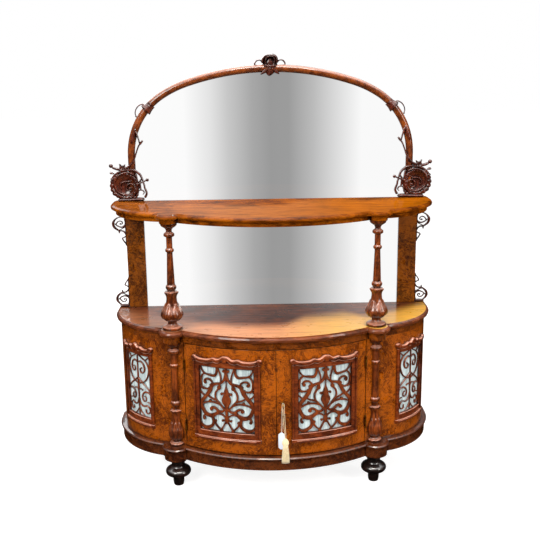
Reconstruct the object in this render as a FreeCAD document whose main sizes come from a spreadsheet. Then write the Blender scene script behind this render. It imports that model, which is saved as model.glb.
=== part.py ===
"""Serpentine mirror-back chiffonier in burr walnut.

Frame: X to the right, Y from the front to the wall, Z up, millimetres.  The
origin lies on the floor under the middle of the box that holds the piece; the
back of the carcass stands on the line y = wall_line.  Inside the shapes, depth
is measured forward from that line, so a depth d is drawn at y = -d and each
finished sub-part is then moved back by wall_line.
"""
import FreeCAD, Part
import Sketcher
import math
import os
from types import SimpleNamespace

VEC = FreeCAD.Vector
ROT = FreeCAD.Rotation
Z_AXIS = VEC(0, 0, 1)
FAR = 2000.0     # past every face of the piece, for tools that cut right through

DRIVING = {
    # plan shared by the plinth, the base top and the shelf
    "half_width": 657, "bow_depth": 489, "bow_end_in": 9.4, "bow_end_out": 7.8,
    "end_radius": 295, "end_setback": 56, "ear_radius": 52,
    "ear_out": 3, "ear_forward": 9, "wall_line": 255.85,
    # turned supports
    "ear_lead": 38, "column_radius": 41, "half_column_radius": 31,
    "foot_radius": 52, "foot_rise": 121, "rear_foot_x": 470, "rear_foot_depth": 76,
    "foot_block": 80,
    # heights of the carcass
    "plinth_rise": 55, "base_rise": 660, "top_thick": 22, "frieze_rise": 29,
    "carcass_inset": 18, "wall_thick": 20, "rail_width": 42, "board_thick": 14,
    "board_clear": 14, "shelf_level": 400, "plinth_width": 66,
    # canted stiles behind the half columns
    "cant": 25.4, "stile_width": 86.3, "stile_back": 12, "partition_thick": 16,
    "partition_gap": 14, "shelf_setback": 66,
    "back_board_gap": 4,
    # upper stage
    "shelf_rise": 1115, "shelf_thick": 18, "apron_rise": 19,
    "pilaster_x": 570, "pilaster_width": 76, "pilaster_thick": 18,
    "back_thick": 8, "glass_thick": 6,
    # arch of the upper mirror
    "arch_half": 571, "arch_spring": 1300, "haunch_radius": 286, "shoulder_radius": 450,
    "haunch_angle": 58.4, "crown_angle": 18.3, "tube_radius": 15,
    "glass_bite": 7, "arch_board": 7, "arch_back_gap": 4, "arch_glass": 5,
    # doors and the framed frets
    "door_thick": 22, "door_gap": 3, "seam_gap": 2, "jamb_gap": 2.5,
    "door_panel_angle": 17.7, "end_panel_angle": 45,
    "door_open_half": 115, "end_open_half": 75, "open_low": 261, "open_high": 533,
    "frame_low": 233, "frame_high": 545, "frame_lip": 3, "frame_proud": 5,
    "frame_margin": 20, "end_margin": 11, "bead_proud": 10, "bead_width": 6, "bead_rise": 12,
    "crest_band": 11, "step_proud": 2, "sill_over": 2, "sill_drop": 4,
    "volute_radius": 9.5, "volute_inset": 3, "volute_lift": 15,
    "fret_thick": 6, "fret_bold": 2.2, "fret_rim": 6, "silk_thick": 1.4,
    "silk_play": 1, "layer_gap": 0.2,
    # hinges
    "hinge_low": 240, "hinge_high": 490, "hinge_rise": 50, "barrel_radius": 3.5,
    "pin_radius": 1.5, "pin_play": 0.06, "leaf_thick": 1, "leaf_depth": 21,
    "pin_forward": 6, "outer_knuckle": 15, "knuckle_gap": 0.3,
    # lock, key and bolts
    "key_x": 25, "key_level": 393, "shank_radius": 3, "bow_ring": 8.5, "bow_wire": 2.2,
    "bow_forward": 501, "shank_gap": 3, "bit_end": 1, "bit_play": 0.3, "keyhole_play": 1,
    "bit_reach": 9, "bit_thick": 2.4, "escutcheon_radius": 6.5,
    "escutcheon_thick": 2, "escutcheon_seat": 1.3, "case_gap": 0.5, "case_wall": 1.5,
    "lock_width": 54, "lock_rise": 52, "lock_thick": 16, "lock_let_in": 8,
    "bolt_thick": 5, "bolt_rise": 12, "bolt_throw": 8, "lock_play": 0.4,
    "bolt_drop": 0.8, "bolt_setback": 1, "mortise_room": 4,
    "slip_x": 26, "slip_radius": 3.5, "slip_length": 90, "slip_throw": 12,
    "socket_play": 1,
    "slip_plate": 2, "slip_back": 2, "plate_margin": 8, "plate_rise": 76, "plate_width": 18,
    "guide_width": 13, "guide_thick": 6, "guide_near": 12, "guide_far": 74, "plate_let": 0.5,
    "knob_radius": 2.5, "knob_length": 11, "knob_place": 52,
    # cords and what hangs on them
    "cord_radius": 0.8, "string_radius": 0.5, "cord_play": 0.3, "loop_depth": 488,
    "tassel_depth": 502.5, "tassel_top": 262, "tassel_rise": 103,
    "tassel_x": 33, "tag_x": 18.5, "tag_width": 25, "tag_corner": 8, "tag_thick": 0.8,
    "tag_depth": 482, "tag_top": 278, "tag_rise": 70,
    # how deep the carving lies, from its back to its front
    "boss_near": 19, "boss_far": 42, "bracket_near": 12, "bracket_far": 21, "bracket_drop": 31,
    "tendril_near": 22, "tendril_far": 37, "crest_near": 1, "crest_far": 38, "collar_angle": 41.9,
}


class Size:
    """A length that knows its value and the sheet formula that it comes from."""

    def __init__(self, text, value):
        self.text = text
        self.value = value

    def __add__(self, other):
        return Size(f"({self.text} + {formula(other)})", self.value + number(other))

    def __radd__(self, other):
        return Size(f"({formula(other)} + {self.text})", number(other) + self.value)

    def __sub__(self, other):
        return Size(f"({self.text} - {formula(other)})", self.value - number(other))

    def __rsub__(self, other):
        return Size(f"({formula(other)} - {self.text})", number(other) - self.value)

    def __mul__(self, other):
        return Size(f"({self.text} * {formula(other)})", self.value * number(other))

    __rmul__ = __mul__

    def __truediv__(self, other):
        return Size(f"({self.text} / {formula(other)})", self.value / number(other))

    def __neg__(self):
        return Size(f"(0 - {self.text})", -self.value)


def formula(size):
    """The sheet formula of a size, or a plain number written out."""
    return size.text if isinstance(size, Size) else repr(float(size))


def number(size):
    """The value of a size or of a plain number."""
    return size.value if isinstance(size, Size) else float(size)


doc = FreeCAD.newDocument("chiffonier")
sheet = doc.addObject("Spreadsheet::Sheet", "Sizes")
for row, (alias, value) in enumerate(DRIVING.items(), start=1):
    sheet.set(f"A{row}", alias)
    sheet.set(f"B{row}", str(value))
    sheet.setAlias(f"B{row}", alias)
doc.recompute()
D = SimpleNamespace(**{alias: Size(f"Sizes.{alias}", float(sheet.get(alias))) for alias in DRIVING})

# levels and places that follow from the driving sizes
plinth_top = D.foot_rise + D.plinth_rise
base_top_under = D.base_rise - D.top_thick
frieze_under = base_top_under - D.frieze_rise
board_top = plinth_top + D.board_thick
board_inset = D.carcass_inset + D.door_thick + D.board_clear
shelf_under = D.shelf_rise - D.shelf_thick
apron_under = shelf_under - D.apron_rise
end_centre_x = D.half_width - D.end_radius
ear_x = end_centre_x + D.ear_lead
ear_depth = D.end_setback + D.end_radius
column_x = ear_x - D.ear_out
column_depth = ear_depth - D.ear_forward
bow_half = ear_x - D.bow_end_in
bow_sweep = D.bow_depth - ear_depth - D.bow_end_out
bow_radius = (bow_half * bow_half + bow_sweep * bow_sweep) / (bow_sweep * 2)
bow_centre = bow_radius - D.bow_depth
door_face = bow_radius - D.carcass_inset
door_back = door_face - D.door_thick
end_face = D.end_radius - D.carcass_inset
end_back = end_face - D.wall_thick
cant_cos = math.cos(math.radians(D.cant.value))
cant_sin = math.sin(math.radians(D.cant.value))
stile_inner = column_x - D.stile_width / 2 * cant_cos
stile_outer = column_x + D.stile_width / 2 * cant_cos
jamb_depth = column_depth + D.stile_width / 2 * cant_sin
door_edge = stile_inner - D.jamb_gap
pin_x = stile_inner - D.jamb_gap / 2
pin_depth = jamb_depth + D.pin_forward
door_low = plinth_top + D.door_gap
door_high = frieze_under - D.door_gap

PARTS = []


def bind(item, prop, size):
    """Tie one property to its formula, or set it when it is a plain number."""
    if isinstance(size, Size):
        item.setExpression(prop, size.text)
    else:
        item.setExpression(prop, repr(float(size)))


def place(item, x=0.0, y=0.0, z=0.0):
    """Tie the origin of an object to its place."""
    bind(item, ".Placement.Base.x", x)
    bind(item, ".Placement.Base.y", y)
    bind(item, ".Placement.Base.z", z)
    return item


def finish(item, label, x=0.0, depth=0.0, z=0.0, angle=None):
    """Name a finished sub-part and stand it against the wall line."""
    item.Label = label
    if angle is not None:
        aim(item, Z_AXIS, number(angle))
        bind(item, ".Placement.Rotation.Angle", angle)
    place(item, x, D.wall_line - depth, z)
    PARTS.append(item)
    return item


def swung(name, items, x, y, angle):
    """A group turned about the upright axis of the curve that carries it."""
    group = doc.addObject("Part::Compound", name)
    group.Links = items
    aim(group, Z_AXIS, number(angle))
    bind(group, ".Placement.Rotation.Angle", angle)
    return place(group, x, y)


def mirrored(source, label):
    """The opposite hand of a finished right-hand sub-part."""
    item = doc.addObject("Part::Mirroring", label)
    item.Source = source
    item.Normal = VEC(1, 0, 0)
    item.Label = label
    PARTS.append(item)
    return item


# ---------------------------------------------------------------- solids
def box(name, x, y, z, length, width, height):
    item = doc.addObject("Part::Box", name)
    bind(item, "Length", length)
    bind(item, "Width", width)
    bind(item, "Height", height)
    return place(item, x, y, z)


def span(name, x0, x1, depth0, depth1, z0, z1):
    """A box between two x values, two depths and two levels."""
    return box(name, x0, -depth1, z0, x1 - x0, depth1 - depth0, z1 - z0)


def cylinder(name, radius, height, x=0.0, y=0.0, z=0.0):
    item = doc.addObject("Part::Cylinder", name)
    bind(item, "Radius", radius)
    bind(item, "Height", height)
    return place(item, x, y, z)


def cone(name, low_radius, high_radius, height, x=0.0, y=0.0, z=0.0):
    item = doc.addObject("Part::Cone", name)
    bind(item, "Radius1", low_radius)
    bind(item, "Radius2", high_radius)
    bind(item, "Height", height)
    return place(item, x, y, z)


def sphere(name, radius, x=0.0, y=0.0, z=0.0):
    item = doc.addObject("Part::Sphere", name)
    bind(item, "Radius", radius)
    return place(item, x, y, z)


def torus(name, ring, wire, x=0.0, y=0.0, z=0.0, turn=360):
    item = doc.addObject("Part::Torus", name)
    bind(item, "Radius1", ring)
    bind(item, "Radius2", wire)
    item.Angle3 = turn
    return place(item, x, y, z)


def aim(item, axis, angle):
    """Turn an object about an axis through its own origin."""
    item.Placement = FreeCAD.Placement(item.Placement.Base, ROT(axis, angle))
    return item


def forward(item):
    """Lay an upright solid down so that its axis points to the front."""
    return aim(item, VEC(1, 0, 0), 90)


def cut(name, base, tool):
    item = doc.addObject("Part::Cut", name)
    item.Base = base
    item.Tool = tool
    return item


def fuse(name, solids):
    item = doc.addObject("Part::MultiFuse", name)
    item.Shapes = solids
    item.Refine = True
    return item


def common(name, solids):
    item = doc.addObject("Part::MultiCommon", name)
    item.Shapes = solids
    return item


def shell(name, outer, inner, x, y, z0, z1):
    """An upright tube between two radii."""
    wall = cylinder(name + "_outer", outer, z1 - z0, x, y, z0)
    bore = cylinder(name + "_bore", inner, z1 - z0 + 2, x, y, z0 - 1)
    return cut(name, wall, bore)


def feature(name, shape):
    item = doc.addObject("Part::Feature", name)
    item.Shape = shape
    return item


# ---------------------------------------------------------------- plan slabs
def crossing(one, other, rightmost):
    """The front crossing of two circles given as (x, y, radius)."""
    gap_x, gap_y = other[0] - one[0], other[1] - one[1]
    gap = math.hypot(gap_x, gap_y)
    along = (one[2] ** 2 - other[2] ** 2 + gap ** 2) / (2 * gap)
    across = math.sqrt(one[2] ** 2 - along ** 2)
    found = []
    for side in (1, -1):
        px = one[0] + (along * gap_x + side * across * gap_y) / gap
        py = one[1] + (along * gap_y - side * across * gap_x) / gap
        found.append((px, py))
    return max(found) if rightmost else min(found, key=lambda point: point[1])


def plan_sketch(body, name, level, inset, ears=True, back=0.0):
    """The serpentine plan, drawn inset millimetres inside the edge of the top."""
    sketch = body.newObject("Sketcher::SketchObject", name)
    sketch.AttachmentSupport = [(origin_plane(body, "XY_Plane"), "")]
    sketch.MapMode = "FlatFace"
    bind(sketch, ".AttachmentOffset.Base.z", level)
    circles = {
        "end": (end_centre_x, -D.end_setback, D.end_radius - inset),
        "ear": (ear_x, -ear_depth, D.ear_radius - inset),
        "bow": (0.0, bow_centre, bow_radius - inset),
    }
    plain = {key: tuple(number(size) for size in circle) for key, circle in circles.items()}
    if ears:
        outer_cusp = crossing(plain["end"], plain["ear"], True)
        inner_cusp = crossing(plain["bow"], plain["ear"], False)
        run = ["end", "ear", "bow", "ear", "end"]
        stops = [outer_cusp, inner_cusp]
    else:
        run = ["end", "bow", "end"]
        stops = [crossing(plain["end"], plain["bow"], False)]
    side_x = plain["end"][0] + plain["end"][2]
    knee = (side_x, plain["end"][1])
    right = [knee] + stops
    corners = [(-x, y) for x, y in right] + list(reversed(right))
    back_y = -number(back)
    edges = [Part.LineSegment(VEC(-side_x, back_y, 0), VEC(-side_x, knee[1], 0))]
    middle = (len(run) - 1) / 2
    for index, key in enumerate(run):
        hand = 1 if index > middle else -1
        centre = (hand * plain[key][0], plain[key][1])
        start, stop = corners[index], corners[index + 1]
        from_angle = math.atan2(start[1] - centre[1], start[0] - centre[0])
        to_angle = math.atan2(stop[1] - centre[1], stop[0] - centre[0])
        circle = Part.Circle(VEC(centre[0], centre[1], 0), Z_AXIS, plain[key][2])
        edges.append(Part.ArcOfCircle(circle, from_angle, to_angle))
    edges.append(Part.LineSegment(VEC(side_x, knee[1], 0), VEC(side_x, back_y, 0)))
    edges.append(Part.LineSegment(VEC(side_x, back_y, 0), VEC(-side_x, back_y, 0)))
    sketch.addGeometry(edges, False)
    last = len(edges) - 1
    ties = [Sketcher.Constraint("Coincident", i, 2, (i + 1) % (last + 1), 1) for i in range(last + 1)]
    ties += [Sketcher.Constraint("Vertical", 0), Sketcher.Constraint("Vertical", last - 1)]
    ties.append(Sketcher.Constraint("Horizontal", last))
    sketch.addConstraint(ties)
    if number(back):
        tie(sketch, ("DistanceY", -1, 1, last, 1), -back)
    else:
        sketch.addConstraint(Sketcher.Constraint("PointOnObject", last, 1, -1))
    tie(sketch, ("DistanceY", -1, 1, 0, 2), -D.end_setback)
    tie(sketch, ("DistanceY", -1, 1, last - 1, 1), -D.end_setback)
    for index, key in enumerate(run):
        hand = 1 if index > middle else -1
        x, y, radius = circles[key]
        tie(sketch, ("Radius", index + 1), radius)
        tie(sketch, ("DistanceY", -1, 1, index + 1, 3), y)
        if key == "bow":
            sketch.addConstraint(Sketcher.Constraint("PointOnObject", index + 1, 3, -2))
        else:
            tie(sketch, ("DistanceX", -1, 1, index + 1, 3), x * hand)
    return sketch


def tie(sketch, words, size):
    """Add one dimension to a sketch and bind it to its formula."""
    index = sketch.addConstraint(Sketcher.Constraint(*words, number(size)))
    sketch.setExpression(f"Constraints[{index}]", formula(size))


def origin_plane(body, role):
    return next(plane for plane in body.Origin.OriginFeatures if plane.Role == role)


def moulded_slab(name, levels):
    """A slab whose edge follows the plan through (level, inset) stations."""
    body = doc.addObject("PartDesign::Body", name)
    outlines = []
    for index, (level, inset) in enumerate(levels):
        outlines.append(plan_sketch(body, f"{name}_line_{index}", level, inset))
    loft = body.newObject("PartDesign::AdditiveLoft", name + "_edge")
    loft.Profile = outlines[0]
    loft.Sections = outlines[1:]
    loft.Ruled = True
    doc.recompute()
    return body


def hollow(body, level, rise, inset, back):
    """Cut the middle out of a slab, leaving a rail inset millimetres wide."""
    sketch = plan_sketch(body, body.Name + "_hollow_line", level, inset, ears=False, back=back)
    pocket = body.newObject("PartDesign::Pocket", body.Name + "_hollow")
    pocket.Profile = sketch
    bind(pocket, "Length", rise)
    pocket.Reversed = True
    doc.recompute()
    return body


def socket(body, name, level, x, depth, half, rise, upward):
    """Chop a square blind mortise for a door bolt, upward or downward from a level."""
    sketch = body.newObject("Sketcher::SketchObject", name + "_line")
    sketch.AttachmentSupport = [(origin_plane(body, "XY_Plane"), "")]
    sketch.MapMode = "FlatFace"
    bind(sketch, ".AttachmentOffset.Base.z", level)
    west, east = number(x - half), number(x + half)
    front, back = number(-depth - half), number(-depth + half)
    corners = [VEC(west, front, 0), VEC(east, front, 0), VEC(east, back, 0), VEC(west, back, 0)]
    for side, (near, far) in enumerate(zip(corners, corners[1:] + corners[:1])):
        sketch.addGeometry(Part.LineSegment(near, far), False)
        sketch.addConstraint(Sketcher.Constraint("Vertical" if side % 2 else "Horizontal", side))
    for side in range(4):
        sketch.addConstraint(Sketcher.Constraint("Coincident", side, 2, (side + 1) % 4, 1))
    tie(sketch, ("DistanceX", 0, 1, 0, 2), half * 2)
    tie(sketch, ("DistanceY", 1, 1, 1, 2), half * 2)
    tie(sketch, ("DistanceX", -1, 1, 0, 1), x - half)
    tie(sketch, ("DistanceY", -1, 1, 0, 1), -depth - half)
    pocket = body.newObject("PartDesign::Pocket", name)
    pocket.Profile = sketch
    bind(pocket, "Length", rise)
    pocket.Reversed = upward
    doc.recompute()
    return body


slip_depth = D.bow_depth - D.carcass_inset - D.door_thick - D.slip_plate - D.slip_radius - 1


def base_top():
    z = D.base_rise
    body = moulded_slab("base_top", [(z - D.top_thick, 8), (z - 17, 2), (z - 10, 0), (z - 4, 3.5), (z, 11)])
    finish(body, "base_top")


def base_frieze():
    inset = D.carcass_inset
    body = moulded_slab("base_frieze", [
        (frieze_under, inset), (base_top_under - 9, inset), (base_top_under, inset - 9)])
    hollow(body, frieze_under, D.frieze_rise, inset + D.rail_width, D.wall_thick)
    socket(body, "upper_socket", frieze_under, -D.slip_x, slip_depth, D.slip_radius + D.socket_play,
           D.slip_throw + D.door_gap + D.mortise_room, True)
    finish(body, "base_frieze")


def plinth():
    z = plinth_top
    body = moulded_slab("plinth", [
        (D.foot_rise, 3), (z - 16, 3), (z - 12, -3), (z - 6, -5), (z - 2, -1), (z, 9)])
    hollow(body, D.foot_rise, D.plinth_rise, D.plinth_width, D.wall_thick)
    socket(body, "lower_socket", plinth_top, -D.slip_x, slip_depth, D.slip_radius + D.socket_play,
           D.slip_throw + D.door_gap + D.mortise_room, False)
    finish(body, "plinth")


def upper_shelf():
    z = D.shelf_rise
    under = D.carcass_inset + 2
    body = moulded_slab("upper_shelf", [
        (apron_under, under), (shelf_under - 4, under), (shelf_under, 8),
        (shelf_under + 4, 1), (z - 9, 0), (z - 4, 3), (z, 12)])
    finish(body, "upper_shelf")


def bottom_board():
    body = doc.addObject("PartDesign::Body", "bottom_board")
    sketch = plan_sketch(body, "bottom_board_line", plinth_top, board_inset, ears=False, back=D.wall_thick)
    pad = body.newObject("PartDesign::Pad", "bottom_board_pad")
    pad.Profile = sketch
    bind(pad, "Length", D.board_thick)
    doc.recompute()
    finish(body, "bottom_board")


# ---------------------------------------------------------------- turnings
def turned(name, radius, length, profile, turn=360):
    """A turning on the Z axis.  Each station of its profile holds a share of the
    largest radius, a height, the end from which that height is measured, and how
    far the line to the next station swells (or, below zero, hollows) for its length."""
    body = doc.addObject("PartDesign::Body", name)
    sketch = body.newObject("Sketcher::SketchObject", name + "_profile")
    sketch.AttachmentSupport = [(origin_plane(body, "XZ_Plane"), "")]
    sketch.MapMode = "FlatFace"
    stations = [(0.0, 0.0, "foot", 0)] + profile + [(0.0, 0.0, "head", 0)]
    sizes = []
    for share, height, end, _ in stations:
        sizes.append((radius * share, length - height if end == "head" else Size(repr(float(height)),
                                                                                 height)))
    corners = [VEC(number(r), number(z), 0) for r, z in sizes]
    count = len(corners)
    lines = []
    for index, start in enumerate(corners):
        stop = corners[(index + 1) % count]
        swell = stations[index][3]
        lines.append(swelling(start, stop, swell) if swell else Part.LineSegment(start, stop))
    sketch.addGeometry(lines, False)
    for index, (r, z) in enumerate(sizes):
        before = (index - 1) % count
        corner = end_at(lines[index], corners[index])
        sketch.addConstraint(Sketcher.Constraint(
            "Coincident", before, end_at(lines[before], corners[index]), index, corner))
        if number(r):
            tie(sketch, ("DistanceX", -1, 1, index, corner), r)
        else:
            sketch.addConstraint(Sketcher.Constraint("PointOnObject", index, corner, -2))
        if number(z):
            tie(sketch, ("DistanceY", -1, 1, index, corner), z)
        else:
            sketch.addConstraint(Sketcher.Constraint("PointOnObject", index, corner, -1))
        if stations[index][3]:
            sketch.addConstraint(Sketcher.Constraint("Radius", index, lines[index].Radius))
    revolve = body.newObject("PartDesign::Revolution", name + "_turning")
    revolve.Profile = sketch
    revolve.ReferenceAxis = (sketch, ["V_Axis"])
    revolve.Angle = turn
    doc.recompute()
    return body


def swelling(start, stop, swell):
    """The arc between two corners that stands off its chord by a share of its length."""
    chord = stop - start
    rise = abs(swell) * chord.Length
    radius = (chord.Length ** 2 / 4 + rise ** 2) / (2 * rise)
    outward = VEC(chord.y, -chord.x, 0).normalize()
    side = 1 if swell > 0 else -1
    centre = (start + stop) * 0.5 + outward * side * (rise - radius)
    low, high = (start, stop) if swell > 0 else (stop, start)
    angles = [math.atan2(corner.y - centre.y, corner.x - centre.x) for corner in (low, high)]
    return Part.ArcOfCircle(Part.Circle(centre, Z_AXIS, radius), *angles)


def end_at(line, corner):
    """1 or 2, whichever end of a sketch line lies on the corner."""
    return 1 if (line.StartPoint - corner).Length <= (line.EndPoint - corner).Length else 2


COLUMN_PROFILE = [
    (0.92, 0, "foot", 0.25), (0.92, 8, "foot", 0), (0.80, 12, "foot", -0.2),
    (0.44, 22, "foot", 0), (0.42, 28, "foot", 0), (0.70, 34, "foot", 0.16),
    (0.98, 56, "foot", 0.08), (0.78, 84, "foot", -0.07), (0.47, 126, "foot", -0.1),
    (0.64, 146, "foot", 0.1), (0.36, 152, "foot", 0), (0.36, 158, "foot", 0),
    (0.50, 161, "foot", 0.3), (0.50, 174, "foot", 0), (0.38, 180, "foot", 0),
    (0.27, 112, "head", 0), (0.40, 110, "head", 0.35), (0.40, 100, "head", 0),
    (0.29, 97, "head", 0), (0.29, 56, "head", 0), (0.50, 52, "head", 0.35),
    (0.50, 38, "head", 0), (0.28, 34, "head", 0), (0.28, 26, "head", -0.15),
    (0.74, 11, "head", 0.2), (0.78, 0, "head", 0),
]
HALF_PROFILE = [
    (0.94, 0, "foot", 0.25), (0.94, 7, "foot", 0), (0.62, 14, "foot", 0),
    (0.55, 20, "foot", 0), (0.80, 27, "foot", 0.16), (0.98, 52, "foot", 0.08),
    (0.74, 82, "foot", -0.07), (0.48, 124, "foot", -0.1), (0.68, 146, "foot", 0.1),
    (0.42, 152, "foot", 0), (0.42, 166, "foot", 0), (0.64, 169, "foot", 0.3),
    (0.64, 181, "foot", 0), (0.52, 186, "foot", 0), (0.44, 108, "head", 0),
    (0.58, 105, "head", 0.3), (0.58, 96, "head", 0), (0.46, 93, "head", 0),
    (0.46, 50, "head", 0), (0.76, 47, "head", 0.35), (0.76, 35, "head", 0),
    (0.46, 31, "head", 0), (0.46, 24, "head", -0.15), (0.80, 14, "head", 0),
    (0.84, 0, "head", 0),
]
FOOT_PROFILE = [
    (0.37, 0, "foot", 0.05), (0.42, 30, "foot", 0), (0.42, 38, "foot", -0.2),
    (0.84, 46, "foot", 0.28), (0.84, 72, "foot", 0), (0.58, 80, "foot", -0.2),
    (0.62, 104, "foot", 0), (0.68, 106, "foot", 0), (0.68, 0, "head", 0),
]


def columns_and_feet():
    column_rise = apron_under - D.base_rise
    column = turned("upper_column_right", D.column_radius, column_rise, COLUMN_PROFILE)
    finish(column, "upper_column_right", column_x, column_depth, D.base_rise)
    mirrored(column, "upper_column_left")
    carcass_rise = frieze_under - plinth_top
    half = turned("lower_column_right", D.half_column_radius, carcass_rise, HALF_PROFILE, 180)
    aim(half, Z_AXIS, D.cant.value + HALF_TURN)
    finish(half, "lower_column_right", column_x, column_depth, plinth_top)
    half.setExpression(".Placement.Rotation.Angle", f"{D.cant.text} + {HALF_TURN}")
    mirrored(half, "lower_column_left")
    foot = turned("foot_front_right", D.foot_radius, D.foot_rise, FOOT_PROFILE)
    finish(foot, "foot_front_right", column_x, column_depth)
    mirrored(foot, "foot_front_left")
    pair = doc.addObject("Part::Compound", "feet_rear")
    pair.Links = [rear_foot("rear_foot", D.rear_foot_x), rear_foot("rear_foot_twin", -D.rear_foot_x)]
    finish(pair, "feet_rear")


def rear_foot(name, x):
    """A turned foot under the square block that is glued beneath the bottom board."""
    turning = turned(name, D.foot_radius, D.foot_rise, FOOT_PROFILE)
    place(turning, x, -D.rear_foot_depth)
    half = D.foot_block / 2
    block = span(name + "_block", x - half, x + half, D.rear_foot_depth - half,
                 D.rear_foot_depth + half, D.foot_rise, plinth_top)
    return fuse(name + "_with_block", [turning, block])


HALF_TURN = 180


# ---------------------------------------------------------------- carcass
partition_x = stile_inner + D.partition_gap


def stiles_and_boards():
    board = span("stile_board", -D.stile_width, D.stile_width, -D.wall_thick, 0.0, plinth_top, frieze_under)
    canted = swung("stile_canted", [board], column_x, -column_depth, D.cant)
    trim = span("stile_trim", stile_inner, stile_outer, 0.0, FAR, plinth_top, frieze_under)
    finish(common("column_stile_right", [canted, trim]), "column_stile_right")
    mirrored(PARTS[-1], "column_stile_left")

    board = span("partition_board", partition_x, partition_x + D.partition_thick, D.wall_thick,
                 column_depth - D.stile_back, board_top, frieze_under)
    partition = finish(cut("partition_right", board, canted), "partition_right")
    mirrored(partition, "partition_left")

    bow = cylinder("shelf_bow", bow_radius - D.shelf_setback, D.board_thick, 0.0, bow_centre, D.shelf_level)
    field = span("shelf_field", -partition_x, partition_x, D.wall_thick, FAR,
                 D.shelf_level, D.shelf_level + D.board_thick)
    finish(common("interior_shelf", [bow, field]), "interior_shelf")

    half = D.half_width - D.carcass_inset - D.wall_thick
    back = box("base_backboard", 0.0, 0.0, 0.0, half * 2, D.wall_thick - D.back_board_gap,
               frieze_under - plinth_top)
    finish(back, "base_backboard", -half, D.wall_thick, plinth_top)


def window(name, half, near, far, low, high):
    """The block that a framed opening takes out of a curve centred on the
    origin, between two distances in front of that centre."""
    return span(name, -half, half, near, far, low, high)


def end_panels():
    bend = shell("end_bend", end_face, end_back, end_centre_x, -D.end_setback, plinth_top, frieze_under)
    quarter = span("end_quarter", stile_outer, D.half_width, D.end_setback, FAR, plinth_top, frieze_under)
    side_x = D.half_width - D.carcass_inset
    straight = span("end_straight", side_x - D.wall_thick, side_x, 0.0, D.end_setback, plinth_top,
                    frieze_under)
    wall = fuse("end_wall", [common("end_curve", [bend, quarter]), straight])
    light = window("end_light", D.end_open_half, 0.0, FAR, D.open_low, D.open_high)
    opening = swung("end_opening", [light], end_centre_x, -D.end_setback, D.end_panel_angle)
    finish(cut("end_panel_right", wall, opening), "end_panel_right")
    mirrored(PARTS[-1], "end_panel_left")


# ---------------------------------------------------------------- scrollwork
def spline(points):
    curve = Part.BSplineCurve()
    curve.interpolate(points)
    return curve


def ribbon(points, widths):
    """A flat band in the XZ plane that follows a smooth line through the points,
    with its width running evenly from stage to stage of the widths."""
    middle = spline([VEC(x, 0, z) for x, z in points])
    if len(points) == 2:
        middle = Part.LineSegment(VEC(points[0][0], 0, points[0][1]), VEC(points[1][0], 0, points[1][1]))
    stations = 2 if len(points) == 2 else 2 * len(points) - 1
    first, last = middle.FirstParameter, middle.LastParameter
    near, far = [], []
    for index in range(stations):
        share = index / (stations - 1)
        at = first + (last - first) * share
        here = middle.value(at)
        along = VEC(*middle.tangent(at)[0])
        across = VEC(-along.z, 0, along.x).normalize()
        stage = share * (len(widths) - 1)
        step = min(int(stage), len(widths) - 2) if len(widths) > 1 else 0
        width = widths[0]
        if len(widths) > 1:
            width = widths[step] + (widths[step + 1] - widths[step]) * (stage - step)
        near.append(here + across * (width / 2))
        far.append(here - across * (width / 2))
    if stations == 2:
        return flat(Part.makePolygon([near[0], near[1], far[1], far[0], near[0]]).Edges)
    edges = [spline(near).toShape(), Part.LineSegment(near[-1], far[-1]).toShape(),
             spline(far[::-1]).toShape(), Part.LineSegment(far[0], near[0]).toShape()]
    return flat(edges)


def flat(edges):
    """A face in the XZ plane that looks to the front, whichever way its edges run."""
    wire = Part.Wire(edges)
    face = Part.Face(wire)
    if face.normalAt(0, 0).y > 0:
        face = Part.Face(wire.reversed())
    return face


def disc(x, z, radius):
    """A flat round in the XZ plane."""
    return flat([Part.Circle(VEC(x, 0, z), VEC(0, -1, 0), radius).toShape()])


def blade(points):
    """A flat field in the XZ plane with a smooth closed edge through the points."""
    curve = Part.BSplineCurve()
    curve.interpolate([VEC(x, 0, z) for x, z in points], PeriodicFlag=True)
    return flat([curve.toShape()])


def polygon(points):
    """A flat field in the XZ plane with straight edges from point to point."""
    corners = [VEC(x, 0, z) for x, z in points]
    return flat(Part.makePolygon(corners + corners[:1]).Edges)


def rectangle(x0, x1, z0, z1):
    """A flat rectangle in the XZ plane."""
    return polygon([(x0, z0), (x1, z0), (x1, z1), (x0, z1)])


def board_of(faces, near, far):
    """Saw overlapping outlines out of one board that lies between two depths."""
    pieces = []
    for face in faces:
        face.translate(VEC(0, -near, 0))
        pieces.append(face.extrude(VEC(0, near - far, 0)))
    if len(pieces) == 1:
        return pieces[0]
    return pieces[0].multiFuse(pieces[1:]).removeSplitter()


def on_curve(name, faces, inner, outer):
    """A fretted or moulded layer that follows a curve centred on the origin."""
    layer = feature(name + "_board", board_of(faces, number(inner) * 0.8, number(outer) + 5))
    skin = shell(name + "_skin", outer, inner, 0.0, 0.0, 0.0, D.base_rise)
    return common(name + "_layer", [layer, skin])


def bend_to(item, label, x, y, angle):
    """Stand a layer on its curve, then make its other hand: a second sub-part
    where the label says right, and a second piece of the same one elsewhere."""
    if label.endswith("_right"):
        finish(item, label, x, -y, 0.0, angle)
        mirrored(item, label.replace("_right", "_left"))
    else:
        pair_up(label, swung(label + "_stood", [item], x, y, angle))


def pair_up(label, right):
    """Both hands of a piece in one sub-part."""
    left = doc.addObject("Part::Mirroring", label + "_other")
    left.Source = right
    left.Normal = VEC(1, 0, 0)
    group = doc.addObject("Part::Compound", label)
    group.Links = [right, left]
    finish(group, label)


fret_half = number(D.door_open_half - D.frame_lip)
end_fret_half = number(D.end_open_half - D.frame_lip)
light_low = number(D.open_low + D.frame_lip)
light_high = number(D.open_high - D.frame_lip)
light_rise = light_high - light_low


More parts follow.
